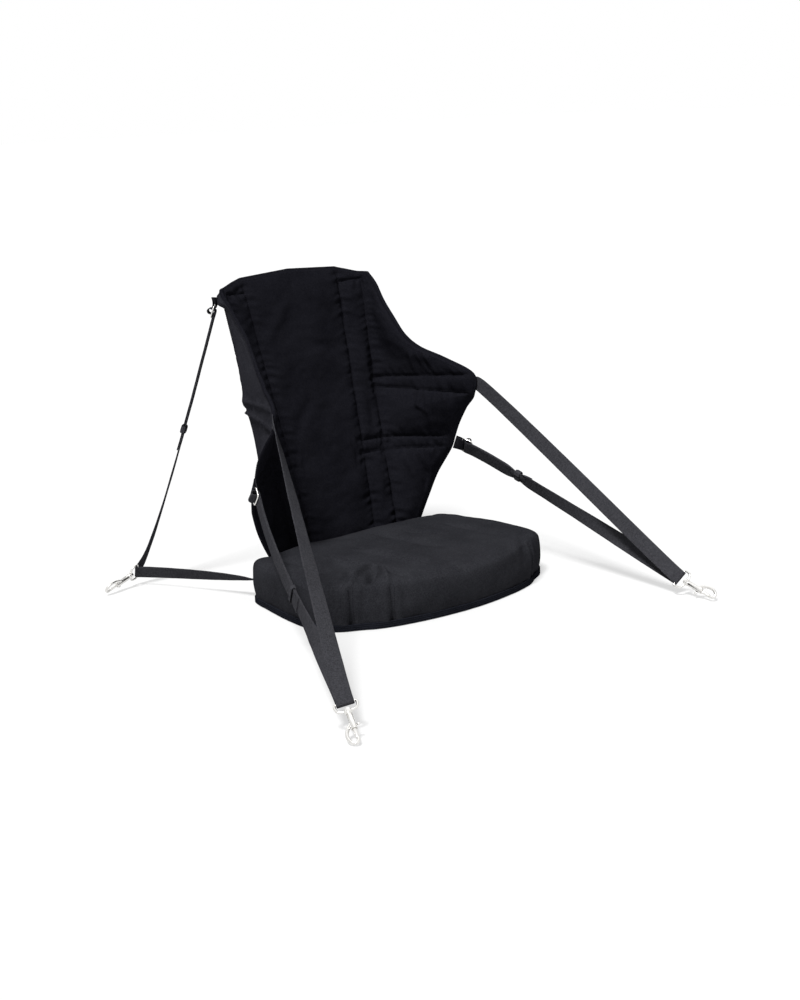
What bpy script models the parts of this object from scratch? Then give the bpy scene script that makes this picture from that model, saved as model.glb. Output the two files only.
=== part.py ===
"""Kayak seat: a padded backrest with forward-curling side wings on a thick seat cushion,
held by four webbing straps that end in swivel bolt snaps.

Frame: +X to the sitter's left as seen from the front right, -Y is the way the seat faces, +Z up.
Origin: centre of the seat's flat underside, on the floor. Units: metres.
"""
import math

import bmesh
import bpy
from mathutils import Matrix, Vector

# Fits and cloth
GAP = 0.0003              # between solids that touch
CLOTH = 0.0011            # woven cover fabric
FOAM_GAP = 0.0006         # foam to the inside of its cover

# Seat cushion
SEAT_HALF_WIDTH = 0.240
SEAT_BACK_Y = 0.147
SEAT_FRONT_Y = -0.163
SEAT_TOP_Z = 0.0745       # edge of the top face
SEAT_CROWN = 0.0045       # the middle of the top stands this much higher
BASE_THICK = 0.003
HEM_THICK = 0.0026
HEM_TOP_Z = 0.0115
HEM_BOTTOM_Z = 0.0006
# Half of the cushion's plan, from the back's middle round to the front's: share of the half
# width, share of the way from back to front
SEAT_PLAN = [(0.4167, 0.0), (0.750, 0.0032), (0.8458, 0.0194), (0.8917, 0.0774),
             (0.9292, 0.2161), (0.975, 0.4097), (1.0, 0.6032), (0.9792, 0.7258),
             (0.9083, 0.800), (0.7833, 0.8581), (0.6667, 0.9129), (0.4917, 0.9548),
             (0.2583, 0.9871), (0.0, 1.0)]

# Backrest: a flat middle that leans back, then wings that curl forward
RECLINE = math.radians(14.6)
BACK_FOOT = Vector((0.0075, 0.160, 0.069))   # the back is sewn on a little off centre
PAD_THICK = 0.024
SEAM_DEPTH_FRONT = 0.0085
SEAM_DEPTH_REAR = 0.0065
EDGE_TAPE = 0.0030        # how far the edge tape stands out past the covers
TAPE_THICK = 0.0080
MIDDLE_HALF_FOOT = 0.070  # half width between the two long inner seams, at the foot
MIDDLE_HALF_TOP = 0.101
TOP_SEAM_H = 0.445
BAND_WIDTH = 0.046        # from the inner to the outer long seam
BEND_START = 0.008        # the wing starts to bend this far inside the outer seam
BEND_LENGTH_FOOT = 0.050
BEND_LENGTH_TOP = 0.026
FLAP_HALF_WIDTH = 0.104
REAR_STRAP_Z = 0.033      # height at which the rear straps are sewn to the cushion
FLAP_THICK = 0.0016

# How far the band between the two long seams turns forward: (height, degrees)
BAND_TURN = [(0.0, 6.0), (0.13, 5.0), (0.26, 2.0), (0.36, 8.0), (0.445, 15.0)]
BAND_BEND = 0.020         # cloth length over which the band takes that turn

# How far the wing turns forward, by height along the back: (height, degrees)
WING_TURN = [(-0.02, 4.0), (0.0, 10.0), (0.075, 31.0), (0.114, 47.0), (0.154, 56.0),
             (0.178, 63.0), (0.198, 68.0), (0.230, 70.0), (0.270, 73.0), (0.298, 79.0),
             (0.326, 86.0), (0.360, 92.0), (0.400, 98.0), (0.480, 102.0)]

# Rows of the quilting: height at the middle, height at the wing's edge, distance of the edge
# from the centre line measured along the cloth
QUILT_ROWS = [
    (-0.010, -0.008, 0.164),
    (0.040, 0.035, 0.187),
    (0.085, 0.075, 0.209),
    (0.134, 0.114, 0.239),
    (0.157, 0.132, 0.249),
    (0.186, 0.155, 0.264),
    (0.215, 0.178, 0.286),
    (0.247, 0.198, 0.3115),
    (0.266, 0.231, 0.322),
    (0.295, 0.270, 0.2765),
    (0.320, 0.298, 0.2375),
    (0.346, 0.327, 0.2140),
    (0.376, 0.361, 0.198),
    (0.410, 0.400, 0.179),
    (0.445, 0.439, 0.160),
    (0.476, 0.452, 0.151),
]
TOP_DROP_AT_INNER_SEAM = 0.006
TOP_DROP_AT_OUTER_SEAM = 0.022
LOWER_CHANNEL_ROWS = (3, 4)
UPPER_CHANNEL_ROWS = (7, 8)
CREASE_ROW = 14
# Columns: 0 is the centre line, 1 the inner seam, 2 the outer seam, 3 the wing's edge
QUILT_COLUMNS = [0.0, 0.45, 0.88, 1.0, 1.14, 1.5, 1.86, 2.0, 2.10, 2.32, 2.60, 2.90, 3.0]

# Webbing and its hardware
WEB_WIDTH = 0.025
WEB_THICK = 0.0015
LAYER = WEB_THICK + 0.0004       # pitch of webbing layers that lie on each other
SLIDER_BAR = 0.0030              # width of each bar of the three-bar slider
SLIDER_SLOT = 0.0060
SLIDER_PLATE = 0.0024
SLIDER_SIDE = 0.0028
KEEPER_LENGTH = 0.011
KEEPER_WALL = 0.0013
TAIL_PAST_KEEPER = 0.016
TAB_LENGTH = 0.024               # from the seat's edge to the middle of the slider

# Bolt snap
EYE_BAR_R = 0.0020
EYE_HALF = 0.0154
EYE_DEPTH = 0.0150
HUB_R = 0.0052
HUB_LENGTH = 0.0044
PIN_R = 0.0024
PIN_CLEAR = 0.0004
COLLAR_R = 0.0052
BARREL_R = 0.0044
BARREL_END = 0.0500
BORE_R = 0.0029
BORE_START = 0.0255
SLOT_WIDTH = 0.0030
STROKE = 0.008
KNOB_AT = 0.0425
KNOB_R = 0.0012
KNOB_REACH = 0.0095
HOOK_WIRE_R = 0.0025
HOOK_TIP_Y = 0.0655
HOOK_TOP_Y = 0.0765
HOOK_SIDE = 0.0130
SPRING_WIRE_R = 0.0004
SPRING_TURNS = 5
SPRING_STEPS = 7                 # sides of each turn

# Hooks: middle of the strap bar, direction of that bar, way the hook points
HOOKS = {
    "front_right": (Vector((0.2895, -0.358, 0.0270)), Vector((0.706, -0.337, 0.621)),
                    Vector((0.0, -0.957, -0.290))),
    "front_left": (Vector((-0.4755, -0.439, 0.0360)), Vector((-0.782, 0.610, -0.130)),
                   Vector((-0.365, -0.834, -0.413))),
    "rear_left": (Vector((-0.2915, 0.378, 0.0270)), Vector((-0.300, -0.501, 0.808)),
                  Vector((-0.945, -0.140, -0.290))),
    "rear_right": (Vector((0.262, 0.395, 0.0270)), Vector((0.480, -0.360, 0.760)),
                   Vector((0.300, 0.920, -0.250))),
}

FABRIC = ("fabric", (0.012, 0.012, 0.014), 0.85, 0.0)
FABRIC_REAR = ("fabric_rear", (0.020, 0.020, 0.024), 0.85, 0.0)
FOAM = ("foam", (0.16, 0.16, 0.17), 0.95, 0.0)
BASE = ("base_fabric", (0.015, 0.015, 0.016), 0.8, 0.0)
TAPE = ("edge_tape", (0.018, 0.018, 0.020), 0.8, 0.0)
WEBBING = ("webbing", (0.035, 0.035, 0.038), 0.7, 0.0)
NICKEL = ("nickel", (0.80, 0.80, 0.80), 0.18, 1.0)
SPRING_STEEL = ("spring_steel", (0.55, 0.55, 0.57), 0.3, 1.0)


def clear_scene():
    for thing in list(bpy.data.objects):
        bpy.data.objects.remove(thing, do_unlink=True)


def material(spec):
    name, colour, roughness, metallic = spec
    found = bpy.data.materials.get(name)
    if found:
        return found
    made = bpy.data.materials.new(name)
    made.use_nodes = True
    shader = made.node_tree.nodes["Principled BSDF"]
    shader.inputs["Base Color"].default_value = (*colour, 1.0)
    shader.inputs["Roughness"].default_value = roughness
    shader.inputs["Metallic"].default_value = metallic
    return made


def add_object(name, verts, faces, spec, smooth=False):
    """A mesh object whose faces all point out."""
    mesh = bpy.data.meshes.new(name)
    mesh.from_pydata([tuple(v) for v in verts], [], faces)
    work = bmesh.new()
    work.from_mesh(mesh)
    bmesh.ops.recalc_face_normals(work, faces=work.faces)
    if work.calc_volume(signed=True) < 0.0:
        bmesh.ops.reverse_faces(work, faces=work.faces)
    work.to_mesh(mesh)
    work.free()
    mesh.materials.append(material(spec))
    if smooth:
        mesh.shade_smooth()
        mesh.set_sharp_from_angle(angle=math.radians(40))
    thing = bpy.data.objects.new(name, mesh)
    bpy.context.scene.collection.objects.link(thing)
    return thing


def lerp(a, b, t):
    return a + (b - a) * t


def ease(t):
    """0 to 1 with a soft start and end."""
    t = min(max(t, 0.0), 1.0)
    return t * t * (3.0 - 2.0 * t)


def curve_value(table, x):
    """Straight-line reading of a (x, value) table."""
    if x <= table[0][0]:
        return table[0][1]
    for (x0, y0), (x1, y1) in zip(table, table[1:]):
        if x <= x1:
            return lerp(y0, y1, (x - x0) / (x1 - x0))
    return table[-1][1]


# The backrest's surface
def inner_seam(h):
    return lerp(MIDDLE_HALF_FOOT, MIDDLE_HALF_TOP, h / TOP_SEAM_H)


def outer_seam(h):
    return inner_seam(h) + BAND_WIDTH


def back_point(s, h, n=0.0):
    """A point on the back: s along the cloth from the centre line, h up the slope,
    n out of the front face."""
    side = 1.0 if s >= 0.0 else -1.0
    reach = abs(s)
    band_start = inner_seam(h)
    wing_start = outer_seam(h) - BEND_START
    length = lerp(BEND_LENGTH_FOOT, BEND_LENGTH_TOP, h / TOP_SEAM_H)
    band_turn = math.radians(curve_value(BAND_TURN, h))
    wing_turn = math.radians(curve_value(WING_TURN, h)) - band_turn
    across = min(reach, band_start)
    forward = 0.0
    angle = 0.0
    steps = 40
    if reach > band_start:
        step = (reach - band_start) / steps
        for i in range(steps):
            at = band_start + step * (i + 0.5)
            angle = band_turn * ease((at - band_start) / BAND_BEND)
            angle += wing_turn * ease((at - wing_start) / length)
            across += math.cos(angle) * step
            forward += math.sin(angle) * step
    across -= n * math.sin(angle)
    forward += n * math.cos(angle)
    up = Vector((0.0, math.sin(RECLINE), math.cos(RECLINE)))
    front = Vector((0.0, -math.cos(RECLINE), math.sin(RECLINE)))
    return BACK_FOOT + up * h + Vector((side * across, 0.0, 0.0)) + front * forward


def quilt_place(column, row):
    """Cloth coordinates (s, h) of a column 0..3 on a row of the quilting."""
    h_mid, h_edge, s_edge = QUILT_ROWS[row]
    if row == len(QUILT_ROWS) - 1:
        drops = [(0.0, 0.0), (1.0, TOP_DROP_AT_INNER_SEAM), (2.0, TOP_DROP_AT_OUTER_SEAM)]
        h_mid -= curve_value(drops, min(column, 2.0))
    inner = inner_seam(h_mid)
    outer = outer_seam(h_mid)
    if column <= 1.0:
        return inner * column, h_mid
    if column <= 2.0:
        return lerp(inner, outer, column - 1.0), h_mid
    t = column - 2.0
    return lerp(outer, s_edge, t), lerp(h_mid, h_edge, t)


def seam_share(column, row):
    """1 on a seam or on the edge of the back, falling to 0 in the middle of a pad."""
    share = 0.0
    s, h = quilt_place(column, row)
    soft = 0.018
    for line, at in ((inner_seam(h), s), (outer_seam(h), s)):
        share = max(share, 1.0 - abs(at - line) / soft)
    rows_crossed = []
    if column >= 1.0:
        rows_crossed += LOWER_CHANNEL_ROWS
    if column >= 2.0:
        rows_crossed += UPPER_CHANNEL_ROWS
    if 1.0 <= column <= 2.0:
        rows_crossed.append(CREASE_ROW)
    for other in rows_crossed:
        away = abs(quilt_place(column, other)[1] - h)
        share = max(share, 1.0 - away / soft)
    if column > 2.0:
        s_edge = QUILT_ROWS[row][2]
        share = max(share, 1.0 - (s_edge - s) / soft)
    h_low = quilt_place(column, 0)[1]
    h_high = quilt_place(column, len(QUILT_ROWS) - 1)[1]
    share = max(share, 1.0 - (h - h_low) / soft, 1.0 - (h_high - h) / soft)
    return min(max(share, 0.0), 1.0) ** 1.5


def front_face(column, row):
    return -SEAM_DEPTH_FRONT * seam_share(column, row)


def rear_face(column, row):
    return -PAD_THICK + SEAM_DEPTH_REAR * seam_share(column, row)


def quilt_shell(name, columns, rows, outer, inner, spec):
    """A closed sheet between two depths over a block of the quilting grid.
    columns holds (side, column) pairs from left to right."""
    verts = []
    for depth in (outer, inner):
        for row in rows:
            for side, column in columns:
                s, h = quilt_place(column, row)
                verts.append(back_point(side * s if s else 0.0, h, depth(column, row)))
    wide = len(columns)
    high = len(rows)
    layer = wide * high
    faces = []
    for j in range(high - 1):
        for i in range(wide - 1):
            a = j * wide + i
            faces.append((a, a + 1, a + wide + 1, a + wide))
            faces.append((layer + a, layer + a + wide, layer + a + wide + 1, layer + a + 1))
    rim = [i for i in range(wide)]
    rim += [j * wide + wide - 1 for j in range(1, high)]
    rim += [(high - 1) * wide + i for i in range(wide - 2, -1, -1)]
    rim += [j * wide for j in range(high - 2, 0, -1)]
    for a, b in zip(rim, rim[1:] + rim[:1]):
        faces.append((b, a, layer + a, layer + b))
    return add_object(name, verts, faces, spec, smooth=True)


def all_columns():
    left = [(-1.0, c) for c in reversed(QUILT_COLUMNS[1:])]
    right = [(1.0, c) for c in QUILT_COLUMNS]
    return left + right


def build_back():
    columns = all_columns()
    rows = list(range(len(QUILT_ROWS)))
    quilt_shell("back_front_cover", columns, rows, front_face,
                lambda c, r: front_face(c, r) - CLOTH, FABRIC)
    quilt_shell("back_rear_cover", columns, rows, rear_face,
                lambda c, r: rear_face(c, r) + CLOTH, FABRIC_REAR)
    inset = CLOTH + FOAM_GAP

    def foam(name, cols, block):
        quilt_shell(name, cols, block, lambda c, r: front_face(c, r) - inset,
                    lambda c, r: rear_face(c, r) + inset, FOAM)

    last = len(rows) - 1
    low, high = LOWER_CHANNEL_ROWS
    up_low, up_high = UPPER_CHANNEL_ROWS
    middle = [(-1.0, c) for c in QUILT_COLUMNS[2:0:-1]] + [(1.0, c) for c in QUILT_COLUMNS[:3]]
    foam("foam_middle", middle, rows)
    for side, word in ((-1.0, "left"), (1.0, "right")):
        band = [(side, c) for c in QUILT_COLUMNS[4:7]]
        wing = [(side, c) for c in QUILT_COLUMNS[8:12]]
        if side < 0.0:
            band.reverse()
            wing.reverse()
        foam("foam_band_lower_" + word, band, rows[:low + 1])
        foam("foam_band_upper_" + word, band, rows[high:last])
        foam("foam_wing_lower_" + word, wing, rows[:low + 1])
        foam("foam_wing_middle_" + word, wing, rows[high:up_low + 1])
        foam("foam_wing_upper_" + word, wing, rows[up_high:last])
    build_edge_tape()


def edge_outline(rows):
    """Cloth coordinates of the covers' edge, counter-clockwise from the foot's middle."""
    last = rows[-1]
    right = [quilt_place(c, 0) for c in QUILT_COLUMNS[:-1:2]]
    right += [quilt_place(3.0, r) for r in rows]
    right += [quilt_place(c, last) for c in reversed(QUILT_COLUMNS[1:-1:2])]
    right += [quilt_place(0.0, last)]
    left = [(-s, h) for s, h in reversed(right[1:-1])]
    return right + left


def tape_depth():
    return (front_face(3.0, 0) + rear_face(3.0, 0)) / 2.0


def tape_places(reach):
    """Cloth coordinates of the edge moved outward by reach."""
    path = edge_outline(list(range(len(QUILT_ROWS))))
    count = len(path)
    places = []
    for i, (s, h) in enumerate(path):
        s0, h0 = path[i - 1]
        s1, h1 = path[(i + 1) % count]
        before = Vector((s - s0, h - h0)).normalized()
        after = Vector((s1 - s, h1 - h)).normalized()
        along = (before + after).normalized()
        out = Vector((along.y, -along.x))
        stretch = 1.0 / max(out.dot(Vector((before.y, -before.x))), 0.6)
        places.append(Vector((s, h)) + out * (reach * stretch))
    return places


def build_edge_tape():
    """The folded tape that binds the two covers together, all the way round."""
    middle = tape_depth()
    loops = []
    for reach, depth in ((GAP, -TAPE_THICK / 2), (GAP, TAPE_THICK / 2),
                         (GAP + EDGE_TAPE, TAPE_THICK / 2), (GAP + EDGE_TAPE, -TAPE_THICK / 2)):
        loops.append([back_point(p.x, p.y, middle + depth) for p in tape_places(reach)])
    count = len(loops[0])
    verts = [loop[i] for i in range(count) for loop in loops]
    faces = []
    for i in range(count):
        a = 4 * i
        b = 4 * ((i + 1) % count)
        for k in range(4):
            m = (k + 1) % 4
            faces.append((a + k, b + k, b + m, a + m))
    add_object("back_edge_tape", verts, faces, TAPE)


def edge_root(side, row):
    """Where webbing is sewn to the wing's edge, between a row and the next one up:
    the point, the way out of the edge and the direction along it."""
    first = len(QUILT_COLUMNS[:-1:2])
    places = tape_places(GAP + EDGE_TAPE + 1.5 * GAP)
    low, high = first + row, first + row + 1
    middle = tape_depth()
    low_end = back_point(side * places[low].x, places[low].y, middle)
    high_end = back_point(side * places[high].x, places[high].y, middle)
    across = (high_end - low_end).normalized()
    root = low_end.lerp(high_end, 0.5)
    place = (places[low] + places[high]) / 2.0
    slope = places[high] - places[low]
    further = place + Vector((slope.y, -slope.x)).normalized() * 0.005
    way = (back_point(side * further.x, further.y, middle)
           - back_point(side * place.x, place.y, middle))
    return root, square_to(way, across), across


# The seat cushion
def seat_outline(offset):
    """Plan of the cushion, clockwise from above, moved outward by offset."""
    half = [(SEAT_HALF_WIDTH * x, lerp(SEAT_BACK_Y, SEAT_FRONT_Y, y)) for x, y in SEAT_PLAN]
    points = [Vector(p) for p in half] + [Vector((-x, y)) for x, y in reversed(half[:-1])]
    points.append(Vector((0.0, SEAT_BACK_Y)))
    moved = []
    count = len(points)
    for i, point in enumerate(points):
        before = (point - points[i - 1]).normalized()
        after = (points[(i + 1) % count] - point).normalized()
        along = (before + after).normalized()
        out = Vector((-along.y, along.x))
        stretch = 1.0 / max(out.dot(Vector((-before.y, before.x))), 0.6)
        moved.append(point + out * (offset * stretch))
    return moved


def ring_solid(name, rings, spec, smooth=True):
    """A closed solid lofted through rings of equal length; each end is closed by a fan."""
    verts = []
    faces = []
    count = len(rings[0])
    for ring in rings:
        verts += ring
    for j in range(len(rings) - 1):
        for i in range(count):
            a = j * count + i
            b = j * count + (i + 1) % count
            faces.append((a, b, b + count, a + count))
    for ring, start in ((rings[0], 0), (rings[-1], (len(rings) - 1) * count)):
        middle = sum((Vector(v) for v in ring), Vector()) / count
        verts.append(middle)
        for i in range(count):
            faces.append((start + i, start + (i + 1) % count, len(verts) - 1))
    return add_object(name, verts, faces, spec, smooth)


def seat_profile(foot_z):
    """The cushion's side: (height, how far it stands out) from its foot to its top."""
    return [(foot_z, -0.001), (0.014, 0.0005), (0.036, 0.0030),
            (SEAT_TOP_Z - 0.0150, 0.0012), (SEAT_TOP_Z - 0.0045, -0.0040),
            (SEAT_TOP_Z, -0.0130)]


def seat_root(side, z):
    """Where webbing is sewn to the cushion's rear corner: the point, the way out of the
    cover and the direction along it."""
    ring = seat_outline(curve_value(seat_profile(BASE_THICK + GAP), z))
    near, far = ring[1], ring[2]
    along = (far - near).normalized()
    out = Vector((-along.y, along.x))
    point = (near + far) / 2.0 + out * (1.5 * GAP)
    return (Vector((side * point.x, point.y, z)), Vector((side * out.x, out.y, 0.0)),
            Vector((side * along.x, along.y, 0.0)))


def seat_rings(inset, foot_z):
    """Rings of the cushion from its foot to its top, shrunk by inset."""
    rings = []
    for z, offset in seat_profile(foot_z):
        high = z if z == foot_z else z - inset * (z / SEAT_TOP_Z)
        rings.append([(p.x, p.y, high) for p in seat_outline(offset - inset)])
    for share in (0.72, 0.40):
        z = SEAT_TOP_Z - inset + SEAT_CROWN * (1.0 - share * share)
        rings.append([(p.x * share, p.y * share, z) for p in seat_outline(-0.013 - inset)])
    return rings


def build_seat():
    foot = BASE_THICK + GAP
    outer = seat_rings(0.0, foot)
    inner = seat_rings(CLOTH, foot)
    count = len(outer[0])
    verts = []
    faces = []
    for shell in (outer, inner):
        base = len(verts)
        for ring in shell:
            verts += ring
        for j in range(len(shell) - 1):
            for i in range(count):
                a = base + j * count + i
                b = base + j * count + (i + 1) % count
                faces.append((a, b, b + count, a + count))
        top = shell[-1]
        verts.append((0.0, sum(p[1] for p in top) / count, top[0][2] + 0.0006))
        start = base + (len(shell) - 1) * count
        for i in range(count):
            faces.append((start + i, start + (i + 1) % count, len(verts) - 1))
    step = len(outer) * count + 1
    for i in range(count):
        j = (i + 1) % count
        faces.append((i, j, step + j, step + i))
    add_object("seat_cover", verts, faces, FABRIC, smooth=True)
    ring_solid("seat_foam", seat_rings(CLOTH + FOAM_GAP, foot), FOAM)
    rings = [[(p.x, p.y, z) for p in seat_outline(0.001)] for z in (0.0, BASE_THICK)]
    ring_solid("seat_base", rings, BASE, smooth=False)
    build_hem()


def build_hem():
    """The tape sewn round the cushion's lower edge."""
    inside = 0.0010 + GAP
    loops = [seat_outline(inside), seat_outline(inside), seat_outline(inside + HEM_THICK),
             seat_outline(inside + HEM_THICK)]
    heights = (HEM_BOTTOM_Z, HEM_TOP_Z, HEM_TOP_Z, HEM_BOTTOM_Z)
    count = len(loops[0])
    verts = []
    for loop, z in zip(loops, heights):
        verts += [(p.x, p.y, z) for p in loop]
    faces = []
    for k in range(4):
        m = (k + 1) % 4
        for i in range(count):
            j = (i + 1) % count
            faces.append((k * count + i, k * count + j, m * count + j, m * count + i))
    add_object("seat_hem", verts, faces, TAPE)


def build_flap():
    """The cloth hinge from the back's foot down to the rear of the cushion's base."""
    depth = (front_face(0.0, 0) + rear_face(0.0, 0)) / 2.0
    h_top = QUILT_ROWS[0][0] - 2.0 * GAP - EDGE_TAPE
    top = back_point(0.0, h_top, depth)
    foot_y = SEAT_BACK_Y + 0.0010 + 2.0 * GAP + HEM_THICK + FLAP_THICK / 2
    foot = Vector((BACK_FOOT.x, foot_y, 0.0045))
    knee = Vector((BACK_FOOT.x, foot_y + 0.001, 0.020))
    stations = [(p, Vector((1.0, 0.0, 0.0))) for p in (foot, knee, top)]
    ribbon("hinge_flap", stations, FLAP_HALF_WIDTH * 2.0, FLAP_THICK, FABRIC)


# Webbing
def ribbon(name, stations, width, thick, spec):
    """A flat band through (point, width direction) stations. A width direction may lie
    askew to the band, as at an end that is sewn to a slanting edge."""
    verts = []
    faces = []
    count = len(stations)
    for i, (point, across) in enumerate(stations):
        ahead = stations[min(i + 1, count - 1)][0] - stations[max(i - 1, 0)][0]
        along = ahead.normalized()
        skew = max(square_length(across, along), 0.75)
        wide = across.normalized() * (width / 2.0 / skew)
        deep = along.cross(wide).normalized() * (thick / 2.0)
        verts += [point + wide + deep, point - wide + deep,
                  point - wide - deep, point + wide - deep]
    for i in range(count - 1):
        a = 4 * i
        # Both wide faces are split the same way, so a twist never makes them meet
        faces += [(a, a + 1, a + 5), (a, a + 5, a + 4),
                  (a + 3, a + 7, a + 6), (a + 3, a + 6, a + 2),
                  (a + 1, a + 2, a + 6, a + 5), (a + 3, a, a + 4, a + 7)]
    faces.append((0, 3, 2, 1))
    end = 4 * (count - 1)
    faces.append((end, end + 1, end + 2, end + 3))
    return add_object(name, verts, faces, spec)


def bezier(p0, p1, p2, p3, t):
    u = 1.0 - t
    return p0 * u ** 3 + p1 * (3 * u * u * t) + p2 * (3 * u * t * t) + p3 * t ** 3


def run_points(start, start_way, end, end_way, slack_start, slack_end, steps):
    """A taut run between two fixed ends: it leaves start along start_way and arrives at
    end having left it along end_way."""
    span = (end - start).length
    p1 = start + start_way * (span * slack_start)
    p2 = end + end_way * (span * slack_end)
    return [bezier(start, p1, p2, end, i / steps) for i in range(steps + 1)]


def turn_between(a, b, t):
    """Unit direction turned from a to b."""
    angle = a.angle(b)
    if angle < 1e-4:
        return a.copy()
    return (a * math.sin((1 - t) * angle) + b * math.sin(t * angle)).normalized()


def square_to(direction, way):
    return (direction - way * direction.dot(way)).normalized()


def square_length(direction, way):
    """Sine of the angle between two directions."""
    return (direction - way * direction.dot(way)).length / direction.length


class Slider:
    """A three-bar slider on its tab. root is where the tab is sewn, root_way and root_across
    how it leaves there; way, bulge and bar are the slider's own directions."""

    def __init__(self, root, root_way, root_across, way, bulge):
        self.root = root
        self.root_way = root_way.normalized()
        self.way = way.normalized()
        self.bulge = square_to(bulge, self.way)
        self.bar = self.bulge.cross(self.way).normalized()
        self.root_across = root_across.normalized()
        if self.root_across.dot(self.bar) < 0.0:
            self.root_across = -self.root_across
        mean_way = (self.root_way + self.way).normalized()
        self.middle = root + mean_way * (TAB_LENGTH - BAR_PITCH) + self.way * BAR_PITCH

    def at(self, a, c):
        return self.middle + self.way * a + self.bulge * c


BAR_PITCH = SLIDER_BAR + SLIDER_SLOT
UNDER = SLIDER_PLATE / 2.0 + 0.0004 + WEB_THICK / 2.0


def threaded_points(slider):
    """Middle line of the webbing from under the hook-side bar, round the middle bar and
    out again as the tail."""
    deep = UNDER + LAYER
    slot_a = -(SLIDER_BAR / 2.0 + SLIDER_SLOT / 2.0) + 0.0002
    slot_b = -slot_a
    local = [(BAR_PITCH + 0.004, -deep), (BAR_PITCH * 0.45, -deep), (0.0, -deep + 0.0001),
             (slot_a * 0.70, -deep * 0.80), (slot_a, -deep * 0.30), (slot_a, 0.0022),
             (slot_a * 1.02, 0.0055), (slot_a * 0.60, 0.0082), (0.0, 0.0090),
             (slot_b * 0.62, 0.0080), (slot_b * 1.0, 0.0052), (slot_b, 0.0018),
             (slot_b * 1.04, -0.0008), (BAR_PITCH * 0.72, -UNDER * 0.93),
             (BAR_PITCH + 0.001, -UNDER), (BAR_PITCH + 0.005, -UNDER)]
    return [slider.at(a, c) for a, c in local]


def build_slider(word, slider):
    """A flat steel plate with two slots, so three bars."""
    reach = BAR_PITCH + SLIDER_BAR / 2.0
    half_slot = WEB_WIDTH / 2.0 + 0.0005
    a_lines = [-reach, -BAR_PITCH + SLIDER_BAR / 2, -SLIDER_BAR / 2, SLIDER_BAR / 2,
               BAR_PITCH - SLIDER_BAR / 2, reach]
    w_lines = [-half_slot - SLIDER_SIDE, -half_slot, half_slot, half_slot + SLIDER_SIDE]
    verts = []
    for c in (-SLIDER_PLATE / 2, SLIDER_PLATE / 2):
        for a in a_lines:
            for w in w_lines:
                verts.append(slider.at(a, c) + slider.bar * w)
    wide = len(w_lines)
    layer = wide * len(a_lines)
    holes = ((1, 1), (3, 1))
    faces = []
    solid = set()
    for j in range(len(a_lines) - 1):
        for i in range(wide - 1):
            if (j, i) not in holes:
                solid.add((j, i))
    for j, i in solid:
        a = j * wide + i
        faces.append((a, a + wide, a + wide + 1, a + 1))
        faces.append((layer + a, layer + a + 1, layer + a + wide + 1, layer + a + wide))
        edges = (((j - 1, i), a, a + 1), ((j + 1, i), a + wide + 1, a + wide),
                 ((j, i - 1), a + wide, a), ((j, i + 1), a + 1, a + wide + 1))
        for other, p, q in edges:
            if other not in solid:
                faces.append((p, q, layer + q, layer + p))
    add_object("slider_" + word, verts, faces, NICKEL)


def build_tab(word, slider):
    """A short loop of webbing, sewn to the seat at both ends, round the slider's far bar."""
    half_gap = UNDER
    far = -BAR_PITCH
    lay = WEB_THICK / 2.0 + 0.0003
    end = slider.at(far - SLIDER_BAR / 2.0 - 0.0010, 0.0)
    span = (end - slider.root).length
    steps = 8
    normal = slider.bulge
    upper = []
    lower = []
    for i in range(steps, -1, -1):
        t = i / steps
        along = slider.root_way.lerp(slider.way, t).normalized()
        point = bezier(slider.root, slider.root + slider.root_way * (span * 0.35),
                       end - slider.way * (span * 0.35), end, t)
        across = square_to(turn_between(slider.root_across, slider.bar, t), along)
        square = along.cross(across).normalized()
        normal = square if square.dot(normal) > 0.0 else -square
        open_by = lerp(lay, half_gap, ease(t))
        upper.insert(0, (point + normal * open_by, across))
        lower.append((point - normal * open_by, across))
    corner_a = far + SLIDER_BAR / 2.0 + 0.0008
    corner_c = SLIDER_PLATE / 2.0 + 0.0008
    turn = [(far, half_gap), (corner_a, corner_c),
            (far + SLIDER_BAR / 2.0 + WEB_THICK / 2.0 + 0.0005, 0.0),
            (corner_a, -corner_c), (far, -half_gap)]
    stations = upper + [(slider.at(a, c), slider.bar) for a, c in turn] + lower
    ribbon("tab_" + word, stations, WEB_WIDTH, WEB_THICK, WEBBING)


def build_keeper(word, point, way, across, normal):
    """A small closed band that holds the tail against the strap."""
    half_w = WEB_WIDTH / 2.0 + 0.0005
    half_n = LAYER / 2.0 + WEB_THICK / 2.0 + 0.0004
    verts = []
    for along in (-KEEPER_LENGTH / 2, KEEPER_LENGTH / 2):
        for grow in (0.0, KEEPER_WALL):
            for w, n in ((1, 1), (-1, 1), (-1, -1), (1, -1)):
                verts.append(point + way * along + across * (w * (half_w + grow))
                             + normal * (n * (half_n + grow)))
    faces = []
    for k in range(4):
        m = (k + 1) % 4
        faces.append((k, m, 8 + m, 8 + k))
        faces.append((4 + k, 12 + k, 12 + m, 4 + m))
        faces.append((k, 4 + k, 4 + m, m))
        faces.append((8 + k, 8 + m, 12 + m, 12 + k))
    add_object("keeper_" + word, verts, faces, WEBBING)


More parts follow.
